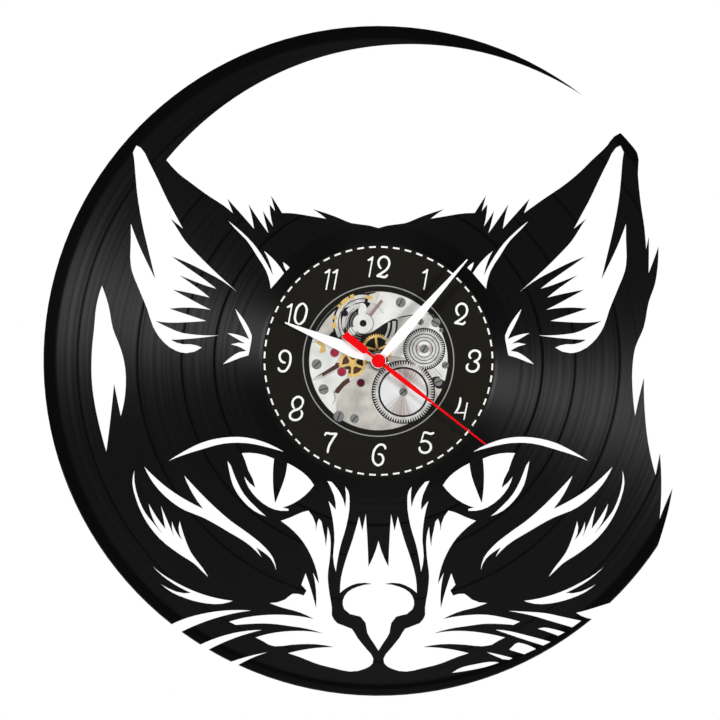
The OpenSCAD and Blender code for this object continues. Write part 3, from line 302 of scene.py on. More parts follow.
class Paintbox:
    """Makes each material once and hands it out."""

    def __init__(self) -> None:
        """Start with no materials and one shared texture group."""
        self.grain = grain_group()
        self.made: dict[str, bpy.types.Material] = {}

    def blank(self, name: str) -> tuple[bpy.types.Material, bpy.types.Node]:
        """Make an empty node material.

        Args:
            name: Its name.

        Returns:
            The material and its main shader.
        """
        material = bpy.data.materials.new(name)
        material.use_nodes = True
        return material, material.node_tree.nodes["Principled BSDF"]

    def plain(self, choice: Finishes) -> bpy.types.Material:
        """Give the material of a plain finish.

        Args:
            choice: The finish.

        Returns:
            The material.
        """
        finish = choice.value
        if finish.name in self.made:
            return self.made[finish.name]
        material, shader = self.blank(finish.name)
        graph = Graph(material.node_tree)
        grain = graph.add(
            "ShaderNodeGroup",
            {
                "Colour": finish.colour,
                "Roughness": finish.roughness,
                "Spread": finish.spread,
                "Scale": finish.scale,
                "Depth": finish.depth,
                "Stretch": STRETCH[finish.wear],
            },
            node_tree=self.grain,
        ).outputs
        graph.feed(
            shader,
            {
                "Base Color": grain["Colour"],
                "Roughness": grain["Roughness"],
                "Normal": grain["Normal"],
                "Metallic": finish.metallic,
                "Specular IOR Level": finish.specular,
                "Coat Weight": finish.coat,
                "Coat Roughness": COAT_ROUGHNESS,
            },
        )
        self.made[finish.name] = material
        return material

    def vinyl(self) -> bpy.types.Material:
        """Give the pressed record's material.

        The distance from the hand axis picks the band: smooth run-out next to the
        label, grooved bands with four smooth gaps, and the plain lead-in at the rim.
        The grooves spread light across themselves, so the shine runs out in rays. Only
        the gaps and the lead-in are polished.

        Returns:
            The material.
        """
        material, shader = self.blank("pressed_vinyl")
        graph = Graph(material.node_tree)
        flat, radius = graph.from_axis()
        outwards = graph.add("ShaderNodeVectorMath", {0: flat}, operation="NORMALIZE")
        share = graph.calc("DIVIDE", radius, RECORD_RADIUS)
        bands = graph.add("ShaderNodeValToRGB", {"Fac": share})
        smooth, grooved = tone(0.0, 0.0, 0.0), tone(1.0, 1.0, 1.0)
        stops = [(0.0, smooth), (0.405, smooth), (0.412, grooved)]
        for gap in TRACK_GAPS:
            middle = gap / RECORD_RADIUS
            stops += [
                (middle - 0.0042, grooved),
                (middle - 0.0024, smooth),
                (middle + 0.0024, smooth),
                (middle + 0.0042, grooved),
            ]
        stops += [(0.957, grooved), (0.967, smooth)]
        ramp = bands.color_ramp
        ramp.elements[0].position, ramp.elements[0].color = stops[0]
        ramp.elements[1].position, ramp.elements[1].color = stops[-1]
        for position, shade in stops[1:-1]:
            ramp.elements.new(position).color = shade
        band = bands.outputs["Color"]

        streak = graph.add(
            "ShaderNodeTexNoise",
            {"W": radius, "Scale": 520.0, "Detail": 5.0},
            noise_dimensions="1D",
        )
        wander = graph.add(
            "ShaderNodeMapRange",
            {
                "Value": streak.outputs["Fac"],
                "From Min": 0.25,
                "From Max": 0.75,
                "To Min": 0.26,
                "To Max": 0.37,
            },
        )
        rough = graph.add(
            "ShaderNodeMix",
            {"Factor": band, "A": 0.34, "B": wander.outputs["Result"]},
            data_type="FLOAT",
        )
        past_run_out = graph.calc("GREATER_THAN", share, RUN_OUT_SHARE)
        polish = graph.calc("MULTIPLY", past_run_out, graph.calc("SUBTRACT", 1.0, band))
        polished = graph.add(
            "ShaderNodeMix",
            {"Factor": polish, "A": rough.outputs["Result"], "B": 0.12},
            data_type="FLOAT",
        )
        # Painted sheen: the grooved bands get a lighter base colour than the smooth run-out, gaps
        # and lead-in. This stands in for the light the grooves scatter, since the vinyl itself is
        # one black.
        colour = graph.add(
            "ShaderNodeMix",
            {
                "Factor": band,
                "A": tone(0.0008, 0.0008, 0.0008),
                "B": tone(0.0026, 0.0026, 0.0027),
            },
            data_type="RGBA",
        )
        wave = graph.calc("SINE", graph.calc("MULTIPLY", radius, math.tau / SHOWN_GROOVE_PITCH))
        bump = graph.add(
            "ShaderNodeBump",
            {"Strength": 0.35, "Distance": 0.00001, "Height": graph.calc("MULTIPLY", wave, band)},
        )
        graph.feed(
            shader,
            {
                "Tangent": outwards.outputs[0],
                "Base Color": colour.outputs["Result"],
                "Roughness": polished.outputs["Result"],
                "Normal": bump.outputs["Normal"],
                "Anisotropic": 0.9,
                "Specular IOR Level": 0.26,
            },
        )
        return material

    def dial_ink(self) -> bpy.types.Material:
        """Give the ink of the dial marks: white outside, greyer on the inner ring line.

        Returns:
            The material.
        """
        material, shader = self.blank("dial_mark_ink")
        graph = Graph(material.node_tree)
        _, radius = graph.from_axis()
        grain = graph.add("ShaderNodeTexNoise", {"Vector": graph.place(), "Scale": 1500.0})
        rough = graph.add(
            "ShaderNodeMapRange", {"Value": grain.outputs["Fac"], "To Min": 0.5, "To Max": 0.65}
        )
        colour = graph.add(
            "ShaderNodeMix",
            {
                "Factor": graph.calc("GREATER_THAN", radius, MARK_RING_EDGE),
                "A": tone(0.27, 0.27, 0.26),
                "B": tone(0.82, 0.82, 0.8),
            },
            data_type="RGBA",
        )
        graph.feed(
            shader,
            {
                "Base Color": colour.outputs["Result"],
                "Roughness": rough.outputs["Result"],
                "Specular IOR Level": 0.2,
            },
        )
        return material

    def spun(self, name: str, centre: Point, turn: float) -> bpy.types.Material:
        """Give the look of a steel disc with a spun sheen that changes round its centre.

        The shade is a wave of the angle about the centre, two bright and two dark
        rays a turn, with fine noise along the angle.

        Args:
            name: The material's name.
            centre: The disc's centre, X and Z in metres.
            turn: Where the dark rays point, in radians.

        Returns:
            The material.
        """
        material, shader = self.blank(name)
        graph = Graph(material.node_tree)
        moved = graph.add(
            "ShaderNodeMapping",
            {"Vector": graph.place(), "Location": (-centre[0], 0.0, -centre[1])},
        )
        split = graph.add("ShaderNodeSeparateXYZ", {0: moved.outputs[0]}).outputs
        angle = graph.calc("ARCTAN2", split["Z"], split["X"])
        wave = graph.calc("COSINE", graph.calc("MULTIPLY_ADD", angle, 2.0, turn))
        brush = graph.add(
            "ShaderNodeTexNoise", {"W": angle, "Scale": 14.0, "Detail": 4.0}, noise_dimensions="1D"
        )
        mixed = graph.calc("MULTIPLY_ADD", wave, 0.35, brush.outputs["Fac"])
        ramp = graph.add("ShaderNodeValToRGB", {"Fac": mixed})
        bright, dark = ramp.color_ramp.elements
        bright.position, bright.color = 0.45, tone(0.68, 0.7, 0.69)
        dark.position, dark.color = 0.92, tone(0.33, 0.27, 0.25)
        graph.feed(shader, {"Base Color": ramp.outputs["Color"], "Roughness": 0.4})
        return material


# --------------------------------------------------------------- mesh makers


def circle_points(centre: Point, radius: float, count: int = 72) -> np.ndarray:
    """Return points round a circle in the X-Z plane, anticlockwise from the front."""
    angle = np.linspace(0.0, 2.0 * np.pi, count, endpoint=False)
    return np.stack(
        [centre[0] + radius * np.cos(angle), centre[1] + radius * np.sin(angle)], axis=1
    )


def toothed_points(
    centre: Point, outer: float, inner: float, teeth: int
) -> np.ndarray:
    """Return a toothed outline: eight points a tooth, the radius stepping in and out.

    Args:
        centre: Its centre in millimetres.
        outer: Radius of the tooth tips.
        inner: Radius of the gaps.
        teeth: Number of teeth.

    Returns:
        The points, one row each.
    """
    step = np.tile(np.array([0, 0, 0.5, 1, 1, 1, 0.5, 0], dtype=float), teeth)
    angle = np.linspace(0.0, 2.0 * np.pi, teeth * 8, endpoint=False)
    radius = inner + (outer - inner) * step
    return np.stack(
        [centre[0] + radius * np.cos(angle), centre[1] + radius * np.sin(angle)], axis=1
    )


def arc_band(
    centre: Point, inner: float, outer: float, start: float, end: float
) -> np.ndarray:
    """Return the outline of a band between two radii and two angles in degrees."""
    angle = np.radians(np.linspace(start, end, max(8, int(abs(end - start) / 3))))
    ring = np.stack([np.cos(angle), np.sin(angle)], axis=1)
    return np.concatenate([ring * outer, ring[::-1] * inner]) + np.array(centre)


def rim_points(radius: float, start: float, end: float, count: int) -> np.ndarray:
    """Return points along an arc about the dial's middle, its ends in degrees."""
    angle = np.radians(np.linspace(start, end, count))
    return np.stack([radius * np.cos(angle), radius * np.sin(angle)], axis=1)


def bar(start: Point, end: Point, width: float) -> np.ndarray:
    """Return the four corners of a straight bar."""
    a, b = np.array(start, dtype=float), np.array(end, dtype=float)
    along = (b - a) / np.linalg.norm(b - a)
    across = np.array([-along[1], along[0]]) * width / 2.0
    return np.array([a - across, b - across, b + across, a + across])


def rounded_path(points: list[Point], per_side: int = 6) -> np.ndarray:
    """Return a closed smooth outline through the points.

    Each stretch is the usual four-point cubic that passes through its two middle points.

    Args:
        points: The outline's points.
        per_side: Steps between neighbouring points.

    Returns:
        The outline's points, one row each.
    """
    knots = np.array(points, dtype=float)
    before, after, beyond = (np.roll(knots, shift, axis=0) for shift in (1, -1, -2))
    s = np.linspace(0.0, 1.0, per_side, endpoint=False)[None, :, None]
    p0, p1, p2, p3 = (k[:, None, :] for k in (before, knots, after, beyond))
    curve = 0.5 * (
        2 * p1
        + (p2 - p0) * s
        + (2 * p0 - 5 * p1 + 4 * p2 - p3) * s**2
        + (3 * p1 - p0 - 3 * p2 + p3) * s**3
    )
    return curve.reshape(-1, 2)


@dataclass
class LowRelief:
    """Collects flat raised shapes that share one finish, then makes one piece of them.

    Attributes:
        name: The piece's name.
        vertices: Vertex arrays so far.
        faces: Faces so far, as index lists.
        count: Number of vertices so far.
    """

    name: str
    vertices: list[np.ndarray] = field(default_factory=list)
    faces: list[list[int]] = field(default_factory=list)
    count: int = 0

    def stand(self, levels: list[tuple[np.ndarray, float]]) -> None:
        """Add a ring of vertices for each outline and its depth."""
        rings = [
            np.stack([points[:, 0], np.full(len(points), depth), points[:, 1]], axis=1)
            for points, depth in levels
        ]
        self.vertices.append(np.concatenate(rings) * MM)

    def wall(self, low: int, high: int, n: int) -> None:
        """Join two rings of n vertices, given where each starts in the shape being added."""
        index = np.arange(n) + self.count
        after = (np.arange(n) + 1) % n + self.count
        quads = np.stack([index + low, after + low, after + high, index + high], axis=1)
        self.faces += quads.tolist()

    def close(self, last: int, n: int) -> None:
        """Cap the first ring and the last, whose start is given."""
        index = np.arange(n) + self.count
        self.faces.append((index + last).tolist())
        self.faces.append(index[::-1].tolist())

    def slab(self, outline: np.ndarray, back: float, front: float, ease: float = 0.02) -> None:
        """Add an outline raised from back to front with a small sloped edge.

        Three copies of the outline stand at the back, near the front and at the front;
        the last is drawn in a little towards the middle, which gives the slope.

        Args:
            outline: Points in millimetres, X and Z.
            back: Depth of the back in millimetres.
            front: Depth of the front in millimetres, smaller than back.
            ease: Width of the sloped edge in millimetres.
        """
        area = np.sum(
            outline[:, 0] * np.roll(outline[:, 1], -1) - np.roll(outline[:, 0], -1) * outline[:, 1]
        )
        if area < 0:
            outline = outline[::-1]
        n = len(outline)
        edge = np.roll(outline, -1, axis=0) - np.roll(outline, 1, axis=0)
        length = np.maximum(np.linalg.norm(edge, axis=1, keepdims=True), 1e-9)
        inward = np.stack([-edge[:, 1], edge[:, 0]], axis=1) / length
        drawn = outline + inward * ease
        self.stand([(outline, back), (outline, front + ease), (drawn, front)])
        self.wall(0, n, n)
        self.wall(n, 2 * n, n)
        self.close(2 * n, n)
        self.count += 3 * n

    def ring(self, outer: np.ndarray, inner: np.ndarray, back: float, front: float) -> None:
        """Add a band between two outlines of the same number of points.

        The section is a closed loop of four corners carried round both outlines.

        Args:
            outer: Outer outline.
            inner: Inner outline.
            back: Depth of the back in millimetres.
            front: Depth of the front in millimetres.
        """
        n = len(outer)
        self.stand([(outer, back), (outer, front), (inner, front), (inner, back)])
        for corner in range(4):
            self.wall(corner * n, (corner + 1) % 4 * n, n)
        self.count += 4 * n

    def dome(self, centre: Point, radius: float, back: float, rise: float) -> None:
        """Add a round cap whose height falls from the middle as a power of a cosine.

        Args:
            centre: Its centre in millimetres.
            radius: Its radius.
            back: Depth of its foot.
            rise: How far it stands forward.
        """
        steps, n, power = 6, 32, 0.8
        self.stand([
            (circle_points(centre, radius * part, n),
             back - rise * math.cos(part * math.pi / 2) ** power)
            for part in np.linspace(1.0, 0.08, steps)
        ])
        for step in range(steps - 1):
            self.wall(step * n, (step + 1) * n, n)
        self.close((steps - 1) * n, n)
        self.count += steps * n

    def build(self, material: bpy.types.Material, slot: str) -> bpy.types.Object:
        """Make the piece.

        Args:
            material: Its material.
            slot: Not used.

        Returns:
            The piece, riding on the clock.
        """
        return piece_from(
            self.name, np.concatenate(self.vertices), self.faces, material, CLOCK
        )


def piece_from(
    name: str,
    vertices: np.ndarray,
    faces: list[list[int]],
    material: bpy.types.Material,
    body: str,
) -> bpy.types.Object:
    """Make a mesh piece in the row frame and set it riding.

    Args:
        name: The piece's name.
        vertices: Its vertices in metres.
        faces: Its faces.
        material: Its material.
        body: The body it rides on.

    Returns:
        The piece.
    """
    mesh = bpy.data.meshes.new(name)
    mesh.from_pydata(vertices.tolist(), [], faces)
    mesh.update()
    mesh.materials.append(material)
    piece = bpy.data.objects.new(name, mesh)
    bpy.context.scene.collection.objects.link(piece)
    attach(piece, body)
    return piece


def turned(
    name: str,
    profile: np.ndarray,
    start: tuple[float, float, float],
    material: bpy.types.Material,
    body: str,
    count: int = 64,
) -> bpy.types.Object:
    """Turn a profile about an axis parallel to X.

    The profile's rows are distance along X and radius; each row becomes a circle of
    points, and neighbouring circles are joined by quads, with both ends closed.

    Args:
        name: The piece's name.
        profile: Rows of along and radius, metres.
        start: Where the axis starts.
        material: Its material.
        body: The body it rides on.
        count: Points round each circle.

    Returns:
        The piece.
    """
    angle = np.linspace(0.0, 2.0 * np.pi, count, endpoint=False)
    along = np.repeat(profile[:, 0], count) + start[0]
    radius = np.repeat(profile[:, 1], count)
    around = np.tile(angle, len(profile))
    vertices = np.stack(
        [along, start[1] + radius * np.cos(around), start[2] + radius * np.sin(around)], axis=1
    )
    row, column = np.meshgrid(np.arange(len(profile) - 1), np.arange(count), indexing="ij")
    a = (row * count + column).ravel()
    b = (row * count + (column + 1) % count).ravel()
    quads = np.stack([a, b, b + count, a + count], axis=1)[:, ::-1]
    index = np.arange(count)
    faces = quads.tolist()
    faces.append(index.tolist())
    faces.append((index[::-1] + (len(profile) - 1) * count).tolist())
    piece = piece_from(name, vertices, faces, material, body)
    outward(piece)
    return piece


def outward(piece: bpy.types.Object) -> None:
    """Turn every face of a closed piece outwards."""
    work = bmesh.new()
    work.from_mesh(piece.data)
    bmesh.ops.recalc_face_normals(work, faces=work.faces)
    work.to_mesh(piece.data)
    work.free()


def eased_copy(
    node: str, body: str, width: float, material: bpy.types.Material
) -> bpy.types.Object:
    """Stand a copy with softened edges in for a solid.

    The copy's doubles are merged and flat neighbours joined, then a narrow bevel
    rounds every edge sharper than thirty degrees.

    Args:
        node: The solid's name.
        body: The body it belongs to.
        width: Bevel width in metres.
        material: Its material.

    Returns:
        The copy.
    """
    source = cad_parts[node]
    mesh = source.data.copy()
    work = bmesh.new()
    work.from_mesh(mesh)
    bmesh.ops.remove_doubles(work, verts=work.verts, dist=MERGE_DISTANCE)
    bmesh.ops.dissolve_limit(
        work, angle_limit=FLAT_ANGLE, verts=work.verts, edges=work.edges
    )
    work.to_mesh(mesh)
    work.free()
    mesh.materials.clear()
    mesh.materials.append(material)
    piece = bpy.data.objects.new(f"{node}_eased", mesh)
    bpy.context.scene.collection.objects.link(piece)
    bevel = piece.modifiers.new("eased_edges", "BEVEL")
    bevel.width = width
    bevel.segments = 2
    bevel.limit_method = "ANGLE"
    bevel.angle_limit = CREASE
    bevel.harden_normals = False
    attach(piece, body)
    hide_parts(node)
    return piece


def dress(node: str, material: bpy.types.Material) -> None:
    """Give a solid its material in every slot."""
    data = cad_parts[node].data
    if not data.materials:
        data.materials.append(material)
    for index in range(len(data.materials)):
        data.materials[index] = material


# ------------------------------------------------------------ sub-assemblies


@dataclass
class RecordBody:
    """The cut record."""

    paints: Paintbox

    def build(self) -> None:
        """Dress the plate as pressed vinyl."""
        dress("record_plate", self.paints.vinyl())
        LOG.info("record dressed")


@dataclass
class Dial:
    """The printed dial card with its marks and numerals."""

    paints: Paintbox

    def build(self) -> None:
        """Dress the card and its white print."""
        dress("dial_label", self.paints.plain(Finishes.DIAL_CARD))
        dress("dial_marks", self.paints.dial_ink())
        dress("numerals", self.paints.plain(Finishes.WHITE_INK))
        LOG.info("dial dressed")


@dataclass
class MovementPicture:
    """The printed picture of an old pocket movement in the middle of the dial.

    Attributes:
        paints: The materials.
        radius: Radius of the picture, mm.
        axis_hole: Radius of the hole round the hands' post, mm.
        layer: Thickness of one printed layer, mm.
        ratchet: Centre of the large ratchet wheel, mm.
        crown: Centre of the crown wheel, mm.
        balance: Centre of the balance, mm.
        base: Depth of the dial's face, mm.
    """

    paints: Paintbox
    radius: float = 31.2
    axis_hole: float = 3.15
    layer: float = 0.04
    ratchet: Point = (11.2, -14.0)
    crown: Point = (20.6, 5.4)
    balance: Point = (-6.9, 16.9)
    base: float = 0.0

    def level(self, step: float) -> float:
        """Return the depth of a print level in millimetres."""
        return self.base - step * self.layer

    def levels(self, back: float, front: float) -> tuple[float, float]:
        """Return the depths of two print levels in millimetres."""
        return self.level(back), self.level(front)

    def printed(self, shape: LowRelief, finish: Finishes) -> bpy.types.Object:
        """Make a printed shape into a piece of the given finish."""
        return shape.build(self.paints.plain(finish), PICTURE_SLOT)

    def ground(self) -> bpy.types.Object:
        """Build the silver ground that stands in for the plain printed disc."""
        ground = LowRelief("picture_ground")
        ground.ring(
            circle_points((0, 0), self.radius, 160),
            circle_points((0, 0), self.axis_hole, 160),
            *self.levels(0, 1),
        )
        piece = self.printed(ground, Finishes.PLATE)
        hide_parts("movement_print")
        return piece

    def shadows(self) -> None:
        """Build the black depths between the plates."""
        dark = LowRelief("picture_depths")
        inside = np.array([
            [-26.8, 13.6], [-25.2, 16.4], [-23.3, 18.9], [-21.2, 21.1], [-18.9, 23.2], [-16.4, 25],
            [-13.6, 26.6], [-10.6, 27.9], [-7.4, 29], [-4.2, 29.9], [-1.8, 30.5],
        ])
        for outline in (
            np.concatenate([rim_points(31.1, 91.0, 155.0, 40), inside]),
            rounded_path([(-22.3, 11), (-19.2, 14), (-17.4, 12), (-16.4, 9.2), (-18.6, 9.6)]),
            rounded_path([
                (-15.5, 13), (-14.5, 18), (-13, 21.5), (-9.5, 24.5), (-6, 26.4), (-3.6, 25.8),
                (-6, 23), (-10.5, 19), (-11, 13.5), (-7, 12.1), (-2.5, 13.2), (3, 17.2),
                (7.8, 18.9), (7.6, 15), (5.5, 9), (2.5, 4.5), (-3, 3.8), (-8, 8), (-13, 9.5),
            ]),
            rounded_path([(-9.6, 0), (-8.6, -1.6), (-5.6, -1.3), (-4, -0.6), (-5, 0.1)]),
            bar((6.8, 19.2), (17, 20.9), 0.45),
            rounded_path([
                (24, -8), (26.5, -7), (29, -7.6), (30.6, -10.6), (29, -12.4), (25.8, -12),
            ]),
        ):
            dark.slab(outline, *self.levels(0.5, 1.6))
        self.printed(dark, Finishes.DARK)
        brown = LowRelief("picture_slots")
        brown.slab(
            np.array([[-30.2, -8.3], [-25.4, -6.1], [-25, -7], [-17.8, -3], [-17, -1],
                      [-19.5, -0.8], [-25.3, -4.6], [-30, -7.5]]),
            *self.levels(1, 2),
        )
        brown.slab(
            np.array([[-19.9, -14.2], [-18, -14.7], [-15.5, -11.5], [-12.8, -9.4],
                      [-13.4, -7.6], [-16.2, -9.3], [-19, -12.4]]),
            *self.levels(1, 2),
        )
        self.printed(brown, Finishes.BROWN)

    def plates(self) -> None:
        """Build the balance cock, the barrel bridge and the small plates."""
        bright = LowRelief("picture_bridges")
        cock = np.concatenate([
            np.array([[-4.2, 20.4], [-0.8, 25.6]]),
            rim_points(self.radius, 88.5, 51.0, 14),
            np.array([[20.6, 22.2], [16.8, 21.2], [10.5, 20.1], [6, 18.6], [2.6, 16.7],
                      [-0.5, 14.6], [-3, 13.6], [-3.6, 17]]),
        ])
        bright.slab(cock, *self.levels(1, 2.6), 0.05)
        for start, end, count, inside in (
            (41.5, -17.0, 26, [[28, -8], [24, -2.5], [15, 0.8], [7.5, 1.8], [5, 1.9],
                               [12, 12.5], [16.5, 18.6], [19, 21], [22, 20.9]]),
            (163.0, 195.5, 14, [[-25.6, -5.6], [-19.6, -1.8], [-17, 3.6], [-12.5, 6.2],
                                [-20, 8.2]]),
            (197.0, 233.0, 16, [[-19.6, -17], [-20.4, -13.6], [-14.2, -7.2], [-13.4, -3.8],
                                [-17.6, -4], [-24.6, -7.6]]),
        ):
            outline = np.concatenate([rim_points(31.0, start, end, count), np.array(inside)])
            bright.slab(outline, *self.levels(1, 2.2), 0.05)
        bright.slab(circle_points(self.balance, 4.6), *self.levels(2.6, 3.6), 0.15)
        bright.slab(circle_points((-11.8, 13.4), 1.9, 32), *self.levels(2, 3), 0.1)
        bright.slab(
            rounded_path([(-9, 21), (-8.4, 25.6), (-6.6, 25.9), (-5.4, 24), (-6, 21)]),
            *self.levels(2, 3), 0.1,
        )
        self.printed(bright, Finishes.BRIDGE)
        shade = LowRelief("picture_lower_plate")
        shade.slab(
            np.concatenate([
                rim_points(31.1, 235.0, 330.0, 34),
                np.array([[25, -14.6], [4, -1.4], [3, -2.6], [-3.4, -3], [-6, -2.2], [-9, -5.4],
                          [-12, -8.6], [-15.2, -12], [-18, -16.4], [-19, -22]]),
            ]),
            *self.levels(1, 1.8), 0.05,
        )
        self.printed(shade, Finishes.PLATE_SHADE)

    def seams(self) -> None:
        """Build the thin dark lines where the plates meet, and the rims of the stones."""
        lines = LowRelief("picture_seams")
        runs = (
            ((-20.2, -13.8), (-19.4, -16.8), (-20.6, -19.6)),
            ((4.6, 2.2), (8.6, 1.6), (14.2, 0.9)),
            ((24.2, -2.2), (27.0, -5.2), (28.6, -7.2)),
            ((21.8, 21.0), (24.6, 20.6), (26.6, 16.4)),
            ((-30.2, 8.4), (-22.6, 8.6), (-19.6, 7.6)),
        )
        for run in runs:
            for start, end in zip(run, run[1:]):
                lines.slab(bar(start, end, 0.28), *self.levels(2.1, 2.8), 0.01)
        for x, z, radius in ((-19.7, 3.7, 2.15), (-16.5, -4.9, 2.15), (-7.9, -9.9, 2.0)):
            lines.slab(circle_points((x, z), radius, 40), *self.levels(1.8, 2.35), 0.02)
        for x, z, radius in ((-27.8, -1.5, 2.3), (-24.7, -12.8, 2.3), (-10.8, -26, 2.1),
                             (10, 26.3, 2.3), (-6.9, 16.9, 4.9), (-11.8, 13.4, 2.15)):
            lines.slab(circle_points((x, z), radius, 48), *self.levels(1.9, 2.66), 0.02)
        self.printed(lines, Finishes.GREY_STEEL)

    def balance_depths(self) -> None:
        """Build the dark gaps that set the balance rim and the gilt wheel apart."""
        gaps = LowRelief("picture_balance_depths")
        gaps.slab(arc_band(self.balance, 9.2, 13.7, 78, 212), *self.levels(1.7, 1.95))
        gaps.slab(arc_band(self.balance, 5.3, 7.9, 96, 236), *self.levels(1.7, 2.1))
        gaps.slab(arc_band(self.balance, 10.4, 15.6, -44, 6), *self.levels(1.7, 1.95))
        self.printed(gaps, Finishes.DARK)
        hollow = LowRelief("picture_wheel_hollow")
        hollow.slab(circle_points((-11.6, -1.2), 5.2, 48), *self.levels(1, 1.15))
        self.printed(hollow, Finishes.BROWN)

    def spoked(
        self,
        shape: LowRelief,
        centre: Point,
        radii: tuple[float, float, float],
        teeth: int,
        spokes: tuple[float, float, float],
        steps: tuple[float, float],
    ) -> None:
        """Add a toothed wheel with five spokes that stand a tenth of a level lower.

        Args:
            shape: What it is added to.
            centre: Its centre in millimetres.
            radii: Radius of the tooth tips, of the gaps and of the rim's inside.
            teeth: Number of teeth.
            spokes: Reach and width of a spoke, and the first one's angle in degrees.
            steps: Print levels of its back and its front.
        """
        tip, gap, bore = radii
        reach, width, first = spokes
        back, front = steps
        rim = circle_points(centre, bore, teeth * 8)
        shape.ring(toothed_points(centre, tip, gap, teeth), rim, *self.levels(back, front))
        for spoke in range(5):
            angle = math.radians(72 * spoke + first)
            end = (centre[0] + reach * math.cos(angle), centre[1] + reach * math.sin(angle))
            shape.slab(bar(centre, end, width), *self.levels(back, front - 0.1))

    def train(self) -> None:
        """Build the gilt wheels, the balance rim and its spring."""
        gold = LowRelief("picture_gilt_train")
        centre, second = (-0.6, 5.0), (-11.6, -1.2)
        self.spoked(gold, centre, (7.2, 6.5, 5.6), 40, (5.9, 1.0, 24), (1.8, 2.5))
        self.spoked(gold, second, (6.4, 5.8, 4.7), 36, (5.0, 1.1, 50), (1.2, 2.1))
        gold.slab(circle_points(second, 1.8, 32), *self.levels(1.2, 2.4))
        for start, end in ((108, 116), (119, 138), (141, 147), (165, 172), (178, 190)):
            gold.slab(arc_band(self.balance, 12.0, 13.9, start, end), *self.levels(2, 3.2))
        gold.slab(arc_band(self.balance, 11.2, 12.8, 70, 84), *self.levels(2, 3.2))
        gold.slab(
            rounded_path([
                (-28, 8), (-26.5, 9), (-24.5, 7.8), (-23.8, 4.4), (-26.4, 3.6), (-26, 6.4),
            ]),
            *self.levels(2.2, 2.7),
        )
        self.printed(gold, Finishes.GOLD)
        rim = LowRelief("picture_balance_rim")
        rim.slab(arc_band(self.balance, 9.6, 10.9, 86, 210), *self.levels(2, 3))
        rim.slab(arc_band(self.balance, 11.3, 12.9, 82, 210), *self.levels(2, 2.9))
        rim.slab(arc_band(self.balance, 11.2, 12.2, -38, 2), *self.levels(2, 3))
        rim.slab(arc_band(self.balance, 13.2, 14.8, -42, 4), *self.levels(2, 3))
        rim.slab(
            rounded_path([(-17, 19.8), (-16, 23.2), (-13, 24.6), (-9.6, 25.6), (-8.4, 24.2),
                          (-12, 22), (-13.6, 19.4), (-14.6, 15.5), (-16.6, 15.4)]),
            *self.levels(2, 3),
        )
        self.printed(rim, Finishes.STEEL)
        spring = LowRelief("picture_spring_lines")
        for radius in (5.4, 6.6, 7.6):
            spring.slab(
                arc_band(self.balance, radius, radius + 0.4, 120, 262), *self.levels(2.2, 3.1)
            )
        for tick in range(7):
            angle = math.radians(62 - 5.5 * tick)
            x, z = self.balance[0] + 9.4 * math.cos(angle), self.balance[1] + 9.4 * math.sin(angle)
            end = (x + 1.2 * math.cos(angle), z + 1.2 * math.sin(angle))
            spring.slab(bar((x, z), end, 0.22), *self.levels(2.6, 2.9), 0.01)
        self.printed(spring, Finishes.GREY_STEEL)
        pointer = LowRelief("picture_pointer")
        pointer.slab(bar((-3.9, 20.2), (1.6, 27.2), 1.5), *self.levels(2.6, 3.4))
        self.printed(pointer, Finishes.ROSE)

    def wheels(self) -> None:
        """Build the crown wheel and the ratchet wheel with their dark ring gaps."""
        steel = LowRelief("picture_toothed_rings")
        dark = LowRelief("picture_ring_gaps")
        dark.slab(circle_points(self.ratchet, 14.3, 120), *self.levels(2.2, 2.7))
        dark.slab(circle_points(self.crown, 9.5, 96), *self.levels(2.3, 2.8))
        self.printed(dark, Finishes.DARK)
        steel.ring(
            toothed_points(self.ratchet, 13.9, 12.3, 72), circle_points(self.ratchet, 11.3, 576),
            *self.levels(2.7, 3.6),
        )
        steel.ring(
            toothed_points(self.crown, 9.1, 7.7, 54), circle_points(self.crown, 6.9, 432),
            *self.levels(2.8, 3.6),
        )
        steel.ring(
            circle_points(self.crown, 6.5, 96), circle_points(self.crown, 5.4, 96),
            *self.levels(2.8, 3.8),
        )
        steel.ring(
            circle_points(self.crown, 5.1, 96), circle_points(self.crown, 3.9, 96),
            *self.levels(2.8, 3.5),
        )
        self.printed(steel, Finishes.STEEL)
        disc = LowRelief("picture_ratchet_face")
        disc.slab(circle_points(self.ratchet, 10.5, 120), *self.levels(2.7, 3.8), 0.1)
        centre = (self.ratchet[0] * MM, self.ratchet[1] * MM)
        disc.build(self.paints.spun("picture_spun_ratchet", centre, -2.8), PICTURE_SLOT)
        hub = LowRelief("picture_crown_face")
        hub.slab(circle_points(self.crown, 3.8, 72), *self.levels(2.8, 3.9), 0.3)
        centre = (self.crown[0] * MM, self.crown[1] * MM)
        hub.build(self.paints.spun("picture_spun_crown", centre, 0.0), PICTURE_SLOT)

